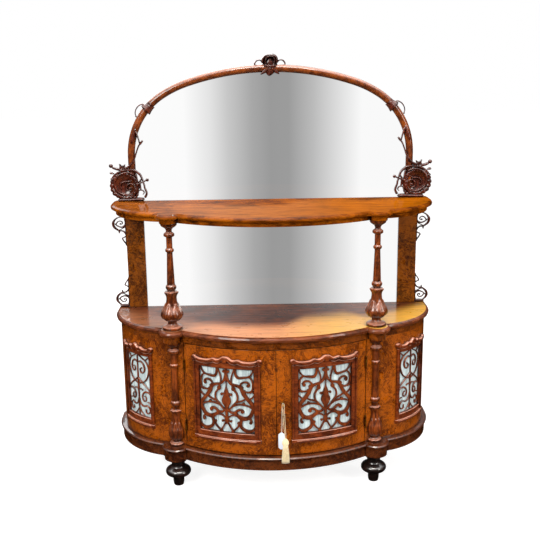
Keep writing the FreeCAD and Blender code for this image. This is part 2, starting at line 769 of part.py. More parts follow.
def shares(points, half):
    """Points given as shares of the half width and of the height of a light."""
    return [(u * half, light_low + t * light_rise) for u, t in points]


def both_hands(points):
    """The points, and the same points on the other side of the centre line."""
    return [points, [(-x, z) for x, z in points]]


def scrolls(strokes, dots, half):
    """Bands and round eyes, each given in shares of the light."""
    faces = []
    bold = number(D.fret_bold)
    for widths, points in strokes:
        bands = [width + bold for width in widths]
        faces += [ribbon(path, bands) for path in both_hands(shares(points, half))]
    for u, t, radius in dots:
        x, z = shares([(u, t)], half)[0]
        faces += [disc(hand * x, z, radius + bold / 3) for hand in (1, -1)]
    return faces


DOOR_STROKES = [
    # the branch that leaves the stem, swells and falls to the border
    ([10, 7, 8, 13, 12, 13], [(0.0, 0.93), (0.05, 0.83), (0.2, 0.755), (0.4, 0.735), (0.52, 0.70),
                              (0.6, 0.63), (0.76, 0.535), (0.92, 0.45), (1.0, 0.39)]),
    # scroll inside the branch, and the loop over it
    ([6, 5, 6], [(0.5, 0.71), (0.56, 0.78), (0.68, 0.80), (0.8, 0.775), (0.79, 0.735)]),
    ([6, 8, 4, 4], [(0.34, 1.01), (0.34, 0.93), (0.41, 0.865), (0.6, 0.865), (0.78, 0.88),
                    (0.89, 0.92), (0.95, 1.01)]),
    ([4, 5, 4], [(0.8, 0.88), (0.91, 0.83), (0.94, 0.74), (0.89, 0.665), (0.78, 0.645), (0.64, 0.655)]),
    ([4], [(0.9, 0.67), (1.01, 0.62)]),
    ([4], [(0.8, 0.53), (0.91, 0.565), (1.01, 0.62)]),
    # twigs at the stem and at the middle
    ([3.5], [(0.3, 1.0), (0.23, 0.91), (0.19, 0.85), (0.2, 0.77)]),
    ([7, 5, 4.5], [(0.25, 0.75), (0.27, 0.68), (0.38, 0.61), (0.405, 0.54), (0.34, 0.48)]),
    ([4, 5, 6], [(0.7, 0.55), (0.56, 0.51), (0.34, 0.475), (0.2, 0.41), (0.03, 0.34)]),
    ([5, 4, 4], [(0.22, 0.415), (0.4, 0.445), (0.6, 0.45), (0.78, 0.43), (0.95, 0.385)]),
    # lower scroll with its eye
    ([6, 8, 6], [(0.08, 0.36), (0.18, 0.315), (0.32, 0.325), (0.42, 0.36), (0.54, 0.365), (0.59, 0.33)]),
    ([8, 14, 13, 10], [(0.3, 0.325), (0.42, 0.265), (0.6, 0.235), (0.78, 0.255), (0.89, 0.32), (0.96, 0.41)]),
    # loop in the lower corner
    ([10, 9, 11, 8], [(0.56, 0.23), (0.5, 0.165), (0.52, 0.1), (0.64, 0.055), (0.82, 0.04), (1.0, 0.1)]),
    ([6, 5], [(0.72, 0.245), (0.84, 0.225), (0.88, 0.185), (0.84, 0.165)]),
    ([4], [(0.03, 0.215), (0.18, 0.27), (0.32, 0.275), (0.42, 0.245)]),
    ([4, 5], [(0.05, 0.15), (0.16, 0.07), (0.28, -0.01)]),
    ([6, 4], [(0.45, 0.17), (0.38, 0.09), (0.24, 0.035), (0.12, -0.01)]),
    ([3], [(0.08, 0.61), (0.17, 0.592)]),
    ([3], [(0.06, 0.19), (0.15, 0.175)]),
]
DOOR_EYES = [
    (0.78, 0.745, 6), (0.86, 0.645, 3.5), (0.64, 0.66, 4), (0.08, 0.945, 5), (0.26, 0.685, 7.5),
    (0.61, 0.46, 6), (0.57, 0.34, 6.5), (0.85, 0.175, 5.5), (0.42, 0.16, 5), (0.17, 0.592, 4.5),
    (0.15, 0.178, 4), (0.54, 0.705, 8),
]
BALUSTER = [
    (0.035, 1.0), (0.04, 0.86), (0.025, 0.8), (0.025, 0.7), (0.08, 0.63), (0.1, 0.58), (0.17, 0.49),
    (0.11, 0.43), (0.06, 0.38), (0.05, 0.3), (0.05, 0.24), (0.08, 0.2), (0.06, 0.16), (0.01, 0.13),
]
END_STROKES = [
    ([4.5, 5, 5, 5], [(0.2, 1.01), (0.52, 0.93), (0.8, 0.83), (0.89, 0.75), (0.77, 0.66), (0.69, 0.57),
                      (0.67, 0.47), (0.73, 0.37), (0.9, 0.3), (0.96, 0.23), (0.87, 0.145), (0.64, 0.06),
                      (0.36, -0.01)]),
    ([5, 7, 5], [(-0.5, 0.935), (-0.1, 0.865), (0.24, 0.87), (0.48, 0.84), (0.6, 0.765), (0.55, 0.68)]),
    ([5, 10, 7, 10, 7], [(-0.18, 0.87), (0.0, 0.74), (0.05, 0.645), (0.18, 0.58), (0.36, 0.52), (0.57, 0.44),
                         (0.64, 0.375), (0.5, 0.3), (0.2, 0.235), (-0.06, 0.19), (-0.17, 0.1), (-0.08,
                                                                                                0.03)]),
    ([5, 5, 7], [(0.0, 0.745), (0.18, 0.785), (0.38, 0.8), (0.44, 0.76), (0.32, 0.745)]),
    ([4], [(-0.25, 0.49), (0.12, 0.51), (0.42, 0.555), (0.74, 0.645)]),
    ([4], [(-0.4, 0.435), (0.0, 0.44), (0.28, 0.42), (0.62, 0.395)]),
    ([4], [(0.68, 0.455), (1.01, 0.455)]),
    ([5, 4], [(-0.22, 0.345), (-0.05, 0.3), (0.14, 0.235)]),
    ([5, 6, 5], [(0.18, 0.23), (0.45, 0.205), (0.52, 0.14), (0.34, 0.12)]),
    ([6, 5], [(-0.1, 0.05), (0.22, 0.03), (0.54, 0.07)]),
    ([5], [(0.86, 0.75), (1.01, 0.74)]),
]
END_EYES = [(0.46, 0.68, 4.5), (0.32, 0.745, 4), (0.03, 0.43, 4.5), (-0.22, 0.345, 6), (0.36, 0.125, 4.5)]


def frets():
    half = fret_half
    right, left = both_hands(shares(BALUSTER, half))
    edges = [spline([VEC(x, 0, z) for x, z in side]) for side in (right, left[::-1])]
    edges += [Part.LineSegment(edges[0].EndPoint, edges[1].StartPoint),
              Part.LineSegment(edges[1].EndPoint, edges[0].StartPoint)]
    baluster = flat([edges[index].toShape() for index in (0, 2, 1, 3)])
    sides = scrolls(DOOR_STROKES, DOOR_EYES, half)
    fit_half = number(D.door_open_half - D.layer_gap)
    layout(sides + [baluster], fit_half, "door_fret_right", door_face, 0.0, bow_centre, D.door_panel_angle)
    sides = scrolls(END_STROKES, END_EYES, end_fret_half)
    fit_half = number(D.end_open_half - D.layer_gap)
    layout(sides, fit_half, "end_fret_right", end_face, end_centre_x, -D.end_setback, D.end_panel_angle)


def layout(faces, half, label, face_radius, x, y, angle):
    """Trim a pattern to its opening, give it a rim and bend it to the curve."""
    rim = number(D.fret_rim)
    low, high = number(D.open_low + D.layer_gap), number(D.open_high - D.layer_gap)
    rims = [rectangle(-half, rim - half, low, high), rectangle(half - rim, half, low, high),
            rectangle(-half, half, low, low + rim), rectangle(-half, half, high - rim, high)]
    outer = face_radius - D.layer_gap
    layer = on_curve(label, faces + rims, outer - D.fret_thick, outer)
    field = box(label + "_field", -half, -1.5 * number(face_radius), low, 2 * half, 1.2 * number(face_radius),
                high - low)
    bend_to(common(label + "_layout", [layer, field]), label, x, y, angle)


def silks():
    z0, z1 = D.open_low + D.silk_play, D.open_high - D.silk_play
    outer = door_face - D.fret_thick - D.layer_gap * 2
    for label, half, curve_outer, x, y, angle in (
            ("door_silk_right", D.door_open_half, outer, 0.0, bow_centre, D.door_panel_angle),
            ("end_silks", D.end_open_half, outer - door_face + end_face, end_centre_x,
             -D.end_setback, D.end_panel_angle)):
        skin = shell(label + "_skin", curve_outer, curve_outer - D.silk_thick, 0.0, 0.0, z0, z1)
        field = window(label + "_field", half - D.silk_play, 0.0, FAR, z0, z1)
        bend_to(common(label + "_cloth", [skin, field]), label, x, y, angle)


# ---------------------------------------------------------------- mouldings
TOP_EDGE = [
    (0.0, 31), (0.08, 28.5), (0.17, 20), (0.28, 18), (0.37, 21.5), (0.45, 17), (0.63, 13), (0.82,
                                                                                            15), (0.95, 21),
]


def under_edge(points, floor, band=0.0):
    """The field below a wavy edge, down to a level floor or as a band of even height."""
    upper = spline([VEC(x, 0, z) for x, z in points])
    lower = Part.LineSegment(VEC(points[0][0], 0, floor or 0), VEC(points[-1][0], 0, floor or 0))
    if band:
        lower = spline([VEC(x, 0, z - band) for x, z in points])
    sides = [Part.LineSegment(upper.EndPoint, lower.EndPoint),
             Part.LineSegment(lower.StartPoint, upper.StartPoint)]
    edges = [upper.toShape(), sides[0].toShape(), Part.Edge(lower.toShape().reversed()), sides[1].toShape()]
    return flat(edges)


def moulding(label, half, margin, face_radius, x, y, angle):
    """The raised frame round a framed fret: a flat, a bead, a sill and a moulded crest."""
    outer, inner = number(half + margin), number(half - D.frame_lip)
    low, high = number(D.frame_low), number(D.frame_high)
    bead, width, band = number(D.bead_rise), number(D.bead_width), number(D.crest_band)
    over, drop = number(D.sill_over), number(D.sill_drop)
    base = face_radius + D.layer_gap / 2

    top = [(u * outer, high + rise) for u, rise in TOP_EDGE]
    top = [(-x, z) for x, z in reversed(top)][:-1] + top
    crown = under_edge(top, high - D.step_proud.value)
    cresting = under_edge(top, None, band)
    flat_ring = on_curve(label + "_flat", [rectangle(-outer, outer, low, high), crown], base,
                         face_radius + D.frame_proud)
    hole = window(label + "_light", inner, 0.0, FAR, light_low, light_high)

    ring = on_curve(label + "_ring", [rectangle(-outer, outer, low + bead, high)], base,
                    face_radius + D.bead_proud - D.step_proud)
    room = window(label + "_room", outer - width, 0.0, FAR, low, high + bead)
    sill = on_curve(label + "_sill", [rectangle(-outer - over, outer + over, low - drop, low + bead - drop)],
                    base, face_radius + D.bead_proud)
    eye_x, eye_z = outer - D.volute_inset.value, high + D.volute_lift.value
    volutes = [disc(hand * eye_x, eye_z, D.volute_radius.value) for hand in (1, -1)]
    crest = on_curve(label + "_crest", [cresting] + volutes, base, face_radius + D.bead_proud + D.step_proud)
    whole = fuse(label + "_whole", [cut(label + "_frame", flat_ring, hole), cut(label + "_bead", ring, room),
                                    sill, crest])
    bend_to(whole, label, x, y, angle)


def mouldings():
    moulding("door_moulding_right", D.door_open_half, D.frame_margin, door_face, 0.0, bow_centre,
             D.door_panel_angle)
    moulding("end_mouldings", D.end_open_half, D.end_margin, end_face, end_centre_x, -D.end_setback,
             D.end_panel_angle)


# ---------------------------------------------------------------- doors
case_x = D.seam_gap / 2 + D.case_gap
case_front = D.bow_depth - D.carcass_inset - D.door_thick + D.lock_let_in
case_wall = D.case_wall
bolt_top = D.key_level - D.bit_reach - D.bolt_drop
bolt_low = bolt_top - D.bolt_rise
bolt_front = case_front - case_wall - D.bolt_setback
seat_depth = D.bow_depth - D.carcass_inset - D.escutcheon_seat


def keyhole(name, radius, slot, near, far):
    """A round hole with a slot below it for the bit, between two depths."""
    hole = forward(cylinder(name + "_round", radius, far - near, D.key_x, -near, D.key_level))
    notch = span(name + "_slot", D.key_x - slot / 2, D.key_x + slot / 2, near, far,
                 D.key_level - D.bit_reach - D.bit_play, D.key_level)
    return fuse(name, [hole, notch])


def doors():
    skin = shell("door_shell", door_face, door_back, 0.0, bow_centre, door_low, door_high)
    field = span("door_field", D.seam_gap / 2, door_edge, 0.0, FAR, door_low, door_high)
    light = window("door_light", D.door_open_half, 0.0, FAR, D.open_low, D.open_high)
    opening = swung("door_opening", [light], 0.0, bow_centre, D.door_panel_angle)
    blank = cut("door_blank", common("door_leaf", [skin, field]), opening)

    recess = span("lock_recess", 0.0, case_x + D.lock_width + D.lock_play, 0.0, case_front + D.lock_play,
                  D.key_level - D.lock_rise / 2 - D.lock_play, D.key_level + D.lock_rise / 2 + D.lock_play)
    passage = keyhole("door_keyhole", D.shank_radius + D.keyhole_play, D.bit_thick + D.keyhole_play, 0.0, FAR)
    seat = forward(cylinder("escutcheon_seat", D.escutcheon_radius + D.layer_gap / 2, FAR, D.key_x,
                            -seat_depth, D.key_level))
    finish(cut("door_right", blank, fuse("lock_cuts", [recess, passage, seat])), "door_right")

    other = doc.addObject("Part::Mirroring", "door_left_blank")
    other.Source = blank
    other.Normal = VEC(1, 0, 0)
    mortise = span("mortise", -D.bolt_throw - D.mortise_room, 0.0, 0.0, bolt_front + D.lock_play,
                   bolt_low - D.lock_play, bolt_top + D.lock_play)
    finish(cut("door_left", other, mortise), "door_left")


def lock():
    x0, x1 = case_x, case_x + D.lock_width
    z0, z1 = D.key_level - D.lock_rise / 2, D.key_level + D.lock_rise / 2
    back = case_front - D.lock_thick
    body = span("case_body", x0, x1, back, case_front, z0, z1)
    room = span("case_room", x0 + case_wall, x1 - case_wall, back + case_wall, case_front - case_wall,
                z0 + case_wall, z1 - case_wall)
    slot = span("case_slot", x0 - case_wall, x0 + case_wall * 2,
                bolt_front - D.bolt_thick - D.lock_play / 2, bolt_front + D.lock_play / 2,
                bolt_low - D.lock_play / 2, bolt_top + D.lock_play / 2)
    hole = keyhole("case_keyhole", D.shank_radius + D.pin_play, D.bit_thick + D.bit_play * 2,
                   case_front - case_wall * 2, case_front + case_wall)
    finish(cut("lock_case", body, fuse("case_cuts", [room, slot, hole])), "lock_case")

    bolt = box("lock_bolt", 0.0, 0.0, 0.0, D.lock_width - D.bolt_throw, D.bolt_thick, D.bolt_rise)
    finish(bolt, "lock_bolt", x0, bolt_front, bolt_low)

    plate = forward(cylinder("escutcheon_disc", D.escutcheon_radius, D.escutcheon_thick, D.key_x,
                             -seat_depth, D.key_level))
    hole = keyhole("escutcheon_hole", D.shank_radius + D.bit_play, D.bit_thick + D.bit_play * 2, 0.0, FAR)
    finish(cut("escutcheon", plate, hole), "escutcheon")

    start = back + case_wall + D.shank_gap
    ring_depth = D.bow_forward
    shank = forward(cylinder("shank", D.shank_radius, ring_depth - D.bow_ring - start, D.key_x, -start,
                             D.key_level))
    ring = aim(torus("key_ring", D.bow_ring, D.bow_wire, D.key_x, -ring_depth, D.key_level), VEC(0, 1, 0), 90)
    bit = span("bit", D.key_x - D.bit_thick / 2, D.key_x + D.bit_thick / 2, start + D.bit_end,
               case_front - case_wall - D.bit_play * 2,
               D.key_level - D.bit_reach, D.key_level)
    finish(fuse("key", [shank, ring, bit]), "key")


def hinge_leaf(name, level, carried):
    """One half of a butt hinge; the carried half has the middle knuckle."""
    outer = D.outer_knuckle
    low, high = level + outer, level + D.hinge_rise - outer
    y = -pin_depth
    x = door_edge if carried else stile_inner - D.leaf_thick
    leaf = span(name + "_leaf", x, x + D.leaf_thick, pin_depth - D.leaf_depth, pin_depth, level,
                level + D.hinge_rise)
    clear = D.barrel_radius + D.knuckle_gap
    end_gap = D.knuckle_gap
    if carried:
        reliefs = [cylinder(name + "_low", clear, outer, pin_x, y, level),
                   cylinder(name + "_high", clear, outer, pin_x, y, high)]
        knuckle = cylinder(name + "_knuckle", D.barrel_radius, high - low - end_gap * 2, pin_x, y,
                           low + end_gap)
        reliefs[0].setExpression("Height", formula(outer + end_gap))
        place(reliefs[1], pin_x, y, high - end_gap)
        reliefs[1].setExpression("Height", formula(outer + end_gap * 2))
        bored = fuse(name + "_solid", [cut(name + "_trimmed", leaf, fuse(name + "_reliefs", reliefs)),
                                       knuckle])
        bore = cylinder(name + "_bore", D.pin_radius + D.pin_play, D.hinge_rise + 2, pin_x, y, level - 1)
        return cut(name, bored, bore)
    relief = cylinder(name + "_relief", clear, high - low, pin_x, y, low)
    ends = [cylinder(name + "_low", D.barrel_radius, outer, pin_x, y, level),
            cylinder(name + "_high", D.barrel_radius, outer, pin_x, y, high)]
    pin = cylinder(name + "_pin", D.pin_radius, D.hinge_rise, pin_x, y, level)
    return fuse(name, [cut(name + "_trimmed", leaf, relief), pin] + ends)


def hinges():
    moving = [hinge_leaf(f"hinge_moving_{i}", level, True) for i,
              level in enumerate((D.hinge_low, D.hinge_high))]
    fixed = [hinge_leaf(f"hinge_fixed_{i}", level, False) for i,
             level in enumerate((D.hinge_low, D.hinge_high))]
    group = doc.addObject("Part::Compound", "hinges_door_right")
    group.Links = moving
    finish(group, "hinges_door_right")
    mirrored(group, "hinges_door_left")
    still = doc.addObject("Part::Compound", "hinges_right_fixed")
    still.Links = fixed
    other = doc.addObject("Part::Mirroring", "hinges_left_fixed")
    other.Source = still
    other.Normal = VEC(1, 0, 0)
    both = doc.addObject("Part::Compound", "hinges_fixed")
    both.Links = [still, other]
    finish(both, "hinges_fixed")


def slip_bolts():
    """The bolts that hold the left door shut, at its top and bottom."""
    inner = door_back - D.layer_gap
    half, guide = D.plate_width / 2, D.guide_width / 2
    plates = []
    for name, toward in (("upper", 1), ("lower", -1)):
        end = door_high if toward > 0 else door_low
        edge, rise = D.plate_margin, D.plate_margin + D.plate_rise
        start, stop = (edge, rise) if toward < 0 else (-rise, -edge)
        skin = shell(name + "_plate_skin", inner, inner - D.slip_plate, 0.0, bow_centre, end + start,
                     end + stop)
        field = span(name + "_plate_field", -D.slip_x - half, half - D.slip_x, 0.0, FAR, end + start,
                     end + stop)
        guides = []
        for index, off in enumerate((D.guide_near, D.guide_far)):
            z = end - off * toward - D.guide_thick / 2
            guides.append(span(f"{name}_guide_{index}", -D.slip_x - guide, guide - D.slip_x,
                               slip_depth - D.slip_radius - D.slip_plate / 2 - D.plate_let,
                               slip_depth + D.slip_radius + D.slip_plate, z, z + D.guide_thick))
        bore = cylinder(name + "_bore", D.slip_radius + D.pin_play, FAR, -D.slip_x, -slip_depth, 0.0)
        solid = fuse(name + "_plate_solid", [common(name + "_plate", [skin, field])] + guides)
        plates.append(cut(name + "_holder", solid, bore))
        tip = end - D.slip_back * toward
        low = tip - D.slip_length if toward > 0 else tip
        rod = cylinder(name + "_rod", D.slip_radius, D.slip_length, -D.slip_x, -slip_depth, low)
        knob = cylinder(name + "_knob", D.knob_radius, D.knob_length, -D.slip_x, -slip_depth,
                        end - D.knob_place * toward)
        aim(knob, VEC(1, 0, 0), -90)
        finish(fuse("bolt_" + name, [rod, knob]), "bolt_" + name)
    pair = doc.addObject("Part::Compound", "bolt_plates")
    pair.Links = plates
    finish(pair, "bolt_plates")


# ---------------------------------------------------------------- upper stage
haunch_x = D.arch_half - D.haunch_radius
haunch_cos, haunch_sin = (f(math.radians(D.haunch_angle.value)) for f in (math.cos, math.sin))
crown_turn = 90 - D.crown_angle
crown_cos, crown_sin = (f(math.radians(crown_turn.value)) for f in (math.cos, math.sin))
shoulder_x = haunch_x - (D.shoulder_radius - D.haunch_radius) * haunch_cos
shoulder_z = D.arch_spring - (D.shoulder_radius - D.haunch_radius) * haunch_sin
crown_radius = D.shoulder_radius + shoulder_x / crown_cos
crown_z = shoulder_z - (crown_radius - D.shoulder_radius) * crown_sin
arch_back = D.arch_back_gap
arch_face = arch_back + D.arch_board + D.arch_glass


def arch_lines(inset):
    """Half of the arch, from the shelf to the crown, as sketch lines that lie
    inset millimetres inside the middle of the tube, then its other half."""
    arcs = [(haunch_x, D.arch_spring, D.haunch_radius, 0.0, D.haunch_angle.value),
            (shoulder_x, shoulder_z, D.shoulder_radius, D.haunch_angle.value, crown_turn.value)]
    half = number(D.arch_half - inset)
    foot, spring = number(D.shelf_rise), number(D.arch_spring)
    lines = [Part.LineSegment(VEC(half, foot, 0), VEC(half, spring, 0))]
    right = [arc(x, z, radius - inset, low, high) for x, z, radius, low, high in arcs]
    crown = arc(0.0, crown_z, crown_radius - inset, crown_turn.value, 180 - crown_turn.value)
    left = [arc(-x, z, radius - inset, 180 - high, 180 - low) for x, z, radius, low, high in reversed(arcs)]
    lines += right + [crown] + left
    lines.append(Part.LineSegment(VEC(-half, spring, 0), VEC(-half, foot, 0)))
    return lines


def arc(x, z, radius, low, high):
    circle = Part.Circle(VEC(number(x), number(z), 0), Z_AXIS, number(radius))
    return Part.ArcOfCircle(circle, math.radians(low), math.radians(high))


def arch_sketch(body, name, inset, closed, depth=0.0):
    sketch = body.newObject("Sketcher::SketchObject", name)
    sketch.AttachmentSupport = [(origin_plane(body, "XZ_Plane"), "")]
    sketch.MapMode = "FlatFace"
    bind(sketch, ".AttachmentOffset.Base.z", depth)
    lines = arch_lines(inset)
    count = len(lines)
    if closed:
        lines.append(Part.LineSegment(lines[-1].EndPoint, lines[0].StartPoint))
    sketch.addGeometry(lines, False)
    for index in range(1, count - 1):
        sketch.addConstraint(Sketcher.Constraint("Tangent", index - 1, 2, index, 1))
    sketch.addConstraint(Sketcher.Constraint("Tangent", count - 2, 2, count - 1, 1))
    for index, size in ((1, D.haunch_radius), (2, D.shoulder_radius), (3, crown_radius),
                        (4, D.shoulder_radius), (5, D.haunch_radius)):
        tie(sketch, ("Radius", index), size - inset)
    tie(sketch, ("DistanceX", -1, 1, 0, 1), D.arch_half - inset)
    tie(sketch, ("DistanceY", -1, 1, 0, 1), D.shelf_rise)
    tie(sketch, ("DistanceY", -1, 1, 0, 2), D.arch_spring)
    sketch.addConstraint(Sketcher.Constraint("Vertical", 0))
    if closed:
        sketch.addConstraint(Sketcher.Constraint("Coincident", count - 1, 2, count, 1))
        sketch.addConstraint(Sketcher.Constraint("Coincident", count, 2, 0, 1))
    return sketch


def arch_tube(name, radius):
    """A round tube along the arch, with its middle in the XZ plane."""
    body = doc.addObject("PartDesign::Body", name)
    path = arch_sketch(body, name + "_path", 0.0, False)
    section = body.newObject("Sketcher::SketchObject", name + "_section")
    section.AttachmentSupport = [(origin_plane(body, "XY_Plane"), "")]
    section.MapMode = "FlatFace"
    bind(section, ".AttachmentOffset.Base.z", D.shelf_rise)
    section.addGeometry(Part.Circle(VEC(number(D.arch_half), 0, 0), Z_AXIS, number(radius)), False)
    tie(section, ("Radius", 0), radius)
    tie(section, ("DistanceX", -1, 1, 0, 3), D.arch_half)
    section.addConstraint(Sketcher.Constraint("PointOnObject", 0, 3, -1))
    pipe = body.newObject("PartDesign::AdditivePipe", name + "_pipe")
    pipe.Profile = section
    pipe.Spine = path
    doc.recompute()
    return body


def arch_plate(name, inset, thick):
    """A flat plate with the outline of the arch; its back lies in the XZ plane."""
    body = doc.addObject("PartDesign::Body", name)
    sketch = arch_sketch(body, name + "_outline", inset, True)
    pad = body.newObject("PartDesign::Pad", name + "_pad")
    pad.Profile = sketch
    bind(pad, "Length", thick)
    doc.recompute()
    return body


def upper_stage():
    rise = apron_under - D.base_rise
    outer, inner = D.pilaster_x + D.pilaster_width / 2, D.pilaster_x - D.pilaster_width / 2
    front = D.back_thick + D.pilaster_thick
    finish(box("pilaster_right", 0.0, 0.0, 0.0, D.pilaster_width, D.pilaster_thick, rise),
           "pilaster_right", inner, front, D.base_rise)
    mirrored(PARTS[-1], "pilaster_left")
    glass_half = inner - D.layer_gap
    finish(box("lower_mirror", 0.0, 0.0, 0.0, glass_half * 2, D.glass_thick, rise),
           "lower_mirror", -glass_half, D.back_thick + D.glass_thick, D.base_rise)
    finish(box("lower_backboard", 0.0, 0.0, 0.0, outer * 2, D.back_thick, rise),
           "lower_backboard", -outer, D.back_thick, D.base_rise)

    tube = arch_tube("arch_tube", D.tube_radius)
    rebate = arch_plate("arch_rebate", D.glass_bite - D.layer_gap, arch_face + D.layer_gap + 1)
    place(tube, 0.0, -D.tube_radius, 0.0)
    place(rebate, 0.0, 1.0, 0.0)
    finish(cut("arch_frame", tube, rebate), "arch_frame")
    finish(arch_plate("upper_mirror", D.glass_bite, D.arch_glass), "upper_mirror", 0.0,
           arch_back + D.arch_board)
    finish(arch_plate("upper_backboard", D.glass_bite, D.arch_board), "upper_backboard", 0.0, arch_back)


# ---------------------------------------------------------------- carving
def arch_room():
    """The room that the arch and its glass take up, with the gap that a fitted piece keeps."""
    tube = place(arch_tube("room_tube", D.tube_radius + D.layer_gap), 0.0, -D.tube_radius, 0.0)
    return fuse("arch_room", [tube, arch_plate("room_glazing", 0.0, arch_face + D.layer_gap)])


def ball(name, x, depth, z, radius):
    return sphere(name, radius, x, -depth, z)


BOSS_STROKES = [
    ([9, 9, 8, 8], [(578, 1237), (558, 1243), (541, 1229), (531, 1210), (526, 1195)]),
    ([6, 8], [(508, 1200), (520, 1199), (530, 1192), (547, 1183)]),
    ([8, 8, 10, 10], [(528, 1194), (522, 1174), (515, 1157), (515, 1143), (522, 1128)]),
    ([3, 3, 4], [(545, 1152), (536, 1158), (526, 1155), (523, 1147), (529, 1138), (540, 1136), (548, 1142)]),
]
BOSS_BALLS = [(508, 1199, 8), (549, 1182, 8), (548, 1139, 6)]
BOSS_EYE = (583, 1169)
BOSS_MIDDLE = (602, 1179)
# The bracket is drawn for a shelf at this level and a pilaster with its edge at this x.
BRACKET_SHELF = 1115
BRACKET_EDGE = 608
BRACKET_STROKES = [
    ([5, 4, 5, 9, 8, 5], [(609, 1040), (618, 1046), (636, 1047), (653, 1037), (662, 1021), (657, 1004),
                          (638, 989)]),
    ([6, 8, 5, 4], [(614, 1043), (610, 1027), (612, 1012), (628, 1005), (645, 1011), (656, 1021)]),
    ([4, 4, 3], [(650, 1017), (643, 1027), (632, 1031), (623, 1025), (625, 1018), (631, 1018)]),
    ([7, 3], [(638, 993), (638, 978)]),
    ([5, 5, 6], [(638, 989), (625, 989), (615, 982), (609, 970)]),
    ([3, 3], [(637, 993), (626, 998), (616, 1003), (609, 1010)]),
    ([4, 4, 4, 5], [(609, 968), (617, 962), (626, 957), (621, 946), (613, 935), (609, 926)]),
]
TENDRIL_STROKES = [
    ([8, 10, 10, 7, 5, 5, 6], [(652, 1256), (630, 1248), (605, 1248), (586, 1256), (568, 1273), (557, 1292),
                               (549, 1315), (540, 1338), (531, 1352)]),
    ([6, 8], [(534, 1345), (521, 1364)]),
    ([5, 5, 7], [(533, 1348), (540, 1376), (548, 1404)]),
    ([9, 14, 5], [(569, 1350), (559, 1380), (547, 1412)]),
]
CALYX = [(621, 1271), (609, 1262), (597, 1269), (598, 1248), (618, 1246)]
CREST_BODY = [(0, 1612), (12, 1614), (24, 1619), (38, 1617), (33, 1626), (27, 1638), (25, 1655), (0, 1660),
              (-25, 1655), (-27, 1638), (-33, 1626), (-38, 1617), (-24, 1619), (-12, 1614)]
CREST_LOOP = [(22, 1662), (30, 1671), (44, 1677), (56, 1672), (61, 1660), (57, 1652)]
COLLAR_LOOP = [(508, 1503), (517, 1508), (533, 1501), (544, 1487), (548, 1472), (545, 1460)]


def scroll_bosses():
    near, far = number(D.boss_near), number(D.boss_far)
    middle_x, middle_z = BOSS_MIDDLE
    radius = 58
    faces = [disc(middle_x, middle_z, radius), rectangle(523, 636, number(D.shelf_rise), 1134)]
    for degrees in range(-35, 56, 18):
        turn = math.radians(degrees)
        faces.append(disc(middle_x + radius * math.cos(turn), middle_z + radius * math.sin(turn), 6))
    faces += [ribbon(points, widths) for widths, points in BOSS_STROKES]
    board = feature("boss_board", board_of(faces, near, far))
    dish = forward(cylinder("boss_dish", 37.0, 20.0, middle_x - 8, -(far - 8), middle_z + 5))
    eye = forward(cylinder("boss_eye", 14.0, 12.0, BOSS_EYE[0], -(far - 9), BOSS_EYE[1]))
    balls = [ball(f"boss_ball_{i}", x, (near + far) / 2 + 3, z, r) for i, (x, z, r) in enumerate(BOSS_BALLS)]
    carved = fuse("boss_carved", [cut("boss_dished", board, dish), eye] + balls)
    finish(cut("scroll_boss_right", carved, ROOM[0]), "scroll_boss_right")
    mirrored(PARTS[-1], "scroll_boss_left")


def brackets():
    near, far = number(D.bracket_near), number(D.bracket_far)
    edge = number(D.pilaster_x + D.pilaster_width / 2 + D.layer_gap)
    rise = number(D.shelf_rise) - BRACKET_SHELF
    strokes = [(widths, [(x - BRACKET_EDGE + edge, z + rise) for x, z in points])
               for widths, points in BRACKET_STROKES]
    faces = [ribbon(points, widths) for widths, points in strokes]
    faces.append(rectangle(edge, edge + 4, 924 + rise, 1046 + rise))
    trim = rectangle(edge, edge + 70, 900 + rise, 1060 + rise).extrude(VEC(0, -40, 0))
    upper = board_of(faces, near, far).common(trim)
    middle = number(D.base_rise + D.shelf_rise) / 2 - number(D.bracket_drop)
    lower = upper.mirror(VEC(0, 0, middle), Z_AXIS)
    base = number(D.base_rise)
    foot = board_of([rectangle(edge, edge + 44, base, base + 12)], near, far)
    pair = [feature("bracket_upper", upper), feature("bracket_lower", lower.fuse(foot).removeSplitter())]
    group = doc.addObject("Part::Compound", "brackets_right")
    group.Links = pair
    finish(group, "brackets_right")
    mirrored(group, "brackets_left")


def tendrils():
    near, far = number(D.tendril_near), number(D.tendril_far)
    faces = [ribbon(points, widths) for widths, points in TENDRIL_STROKES] + [polygon(CALYX)]
    board = feature("tendril_board", board_of(faces, near, far))
    curl = ball("tendril_curl", 655, (near + far) / 2, 1262, 9)
    right = cut("tendril_right", fuse("tendril_carved", [board, curl]), ROOM[0])
    pair_up("tendrils", right)


def collars():
    """The leafy collars where the haunches of the arch begin to lean in."""
    turn = D.collar_angle.value
    sin, cos = math.sin(math.radians(turn)), math.cos(math.radians(turn))
    x = haunch_x + D.haunch_radius * cos
    z = D.arch_spring + D.haunch_radius * sin
    cup = cone("collar_cup", 23.0, 16.5, 34.0, x + 10 * sin, -D.tube_radius, z - 10 * cos)
    cup.Placement = FreeCAD.Placement(cup.Placement.Base, ROT(VEC(0, 1, 0), turn - 90))
    loop = feature("collar_loop", board_of([ribbon(COLLAR_LOOP, [4, 3, 3])], 12.0, 18.0))
    wall = span("collar_wall", 300.0, 700.0, -40.0, 0.0, 1300.0, 1700.0)
    right = cut("collar_right", fuse("collar_carved", [cup, loop]), fuse("collar_room", [ROOM[0], wall]))
    pair_up("arch_collars", right)


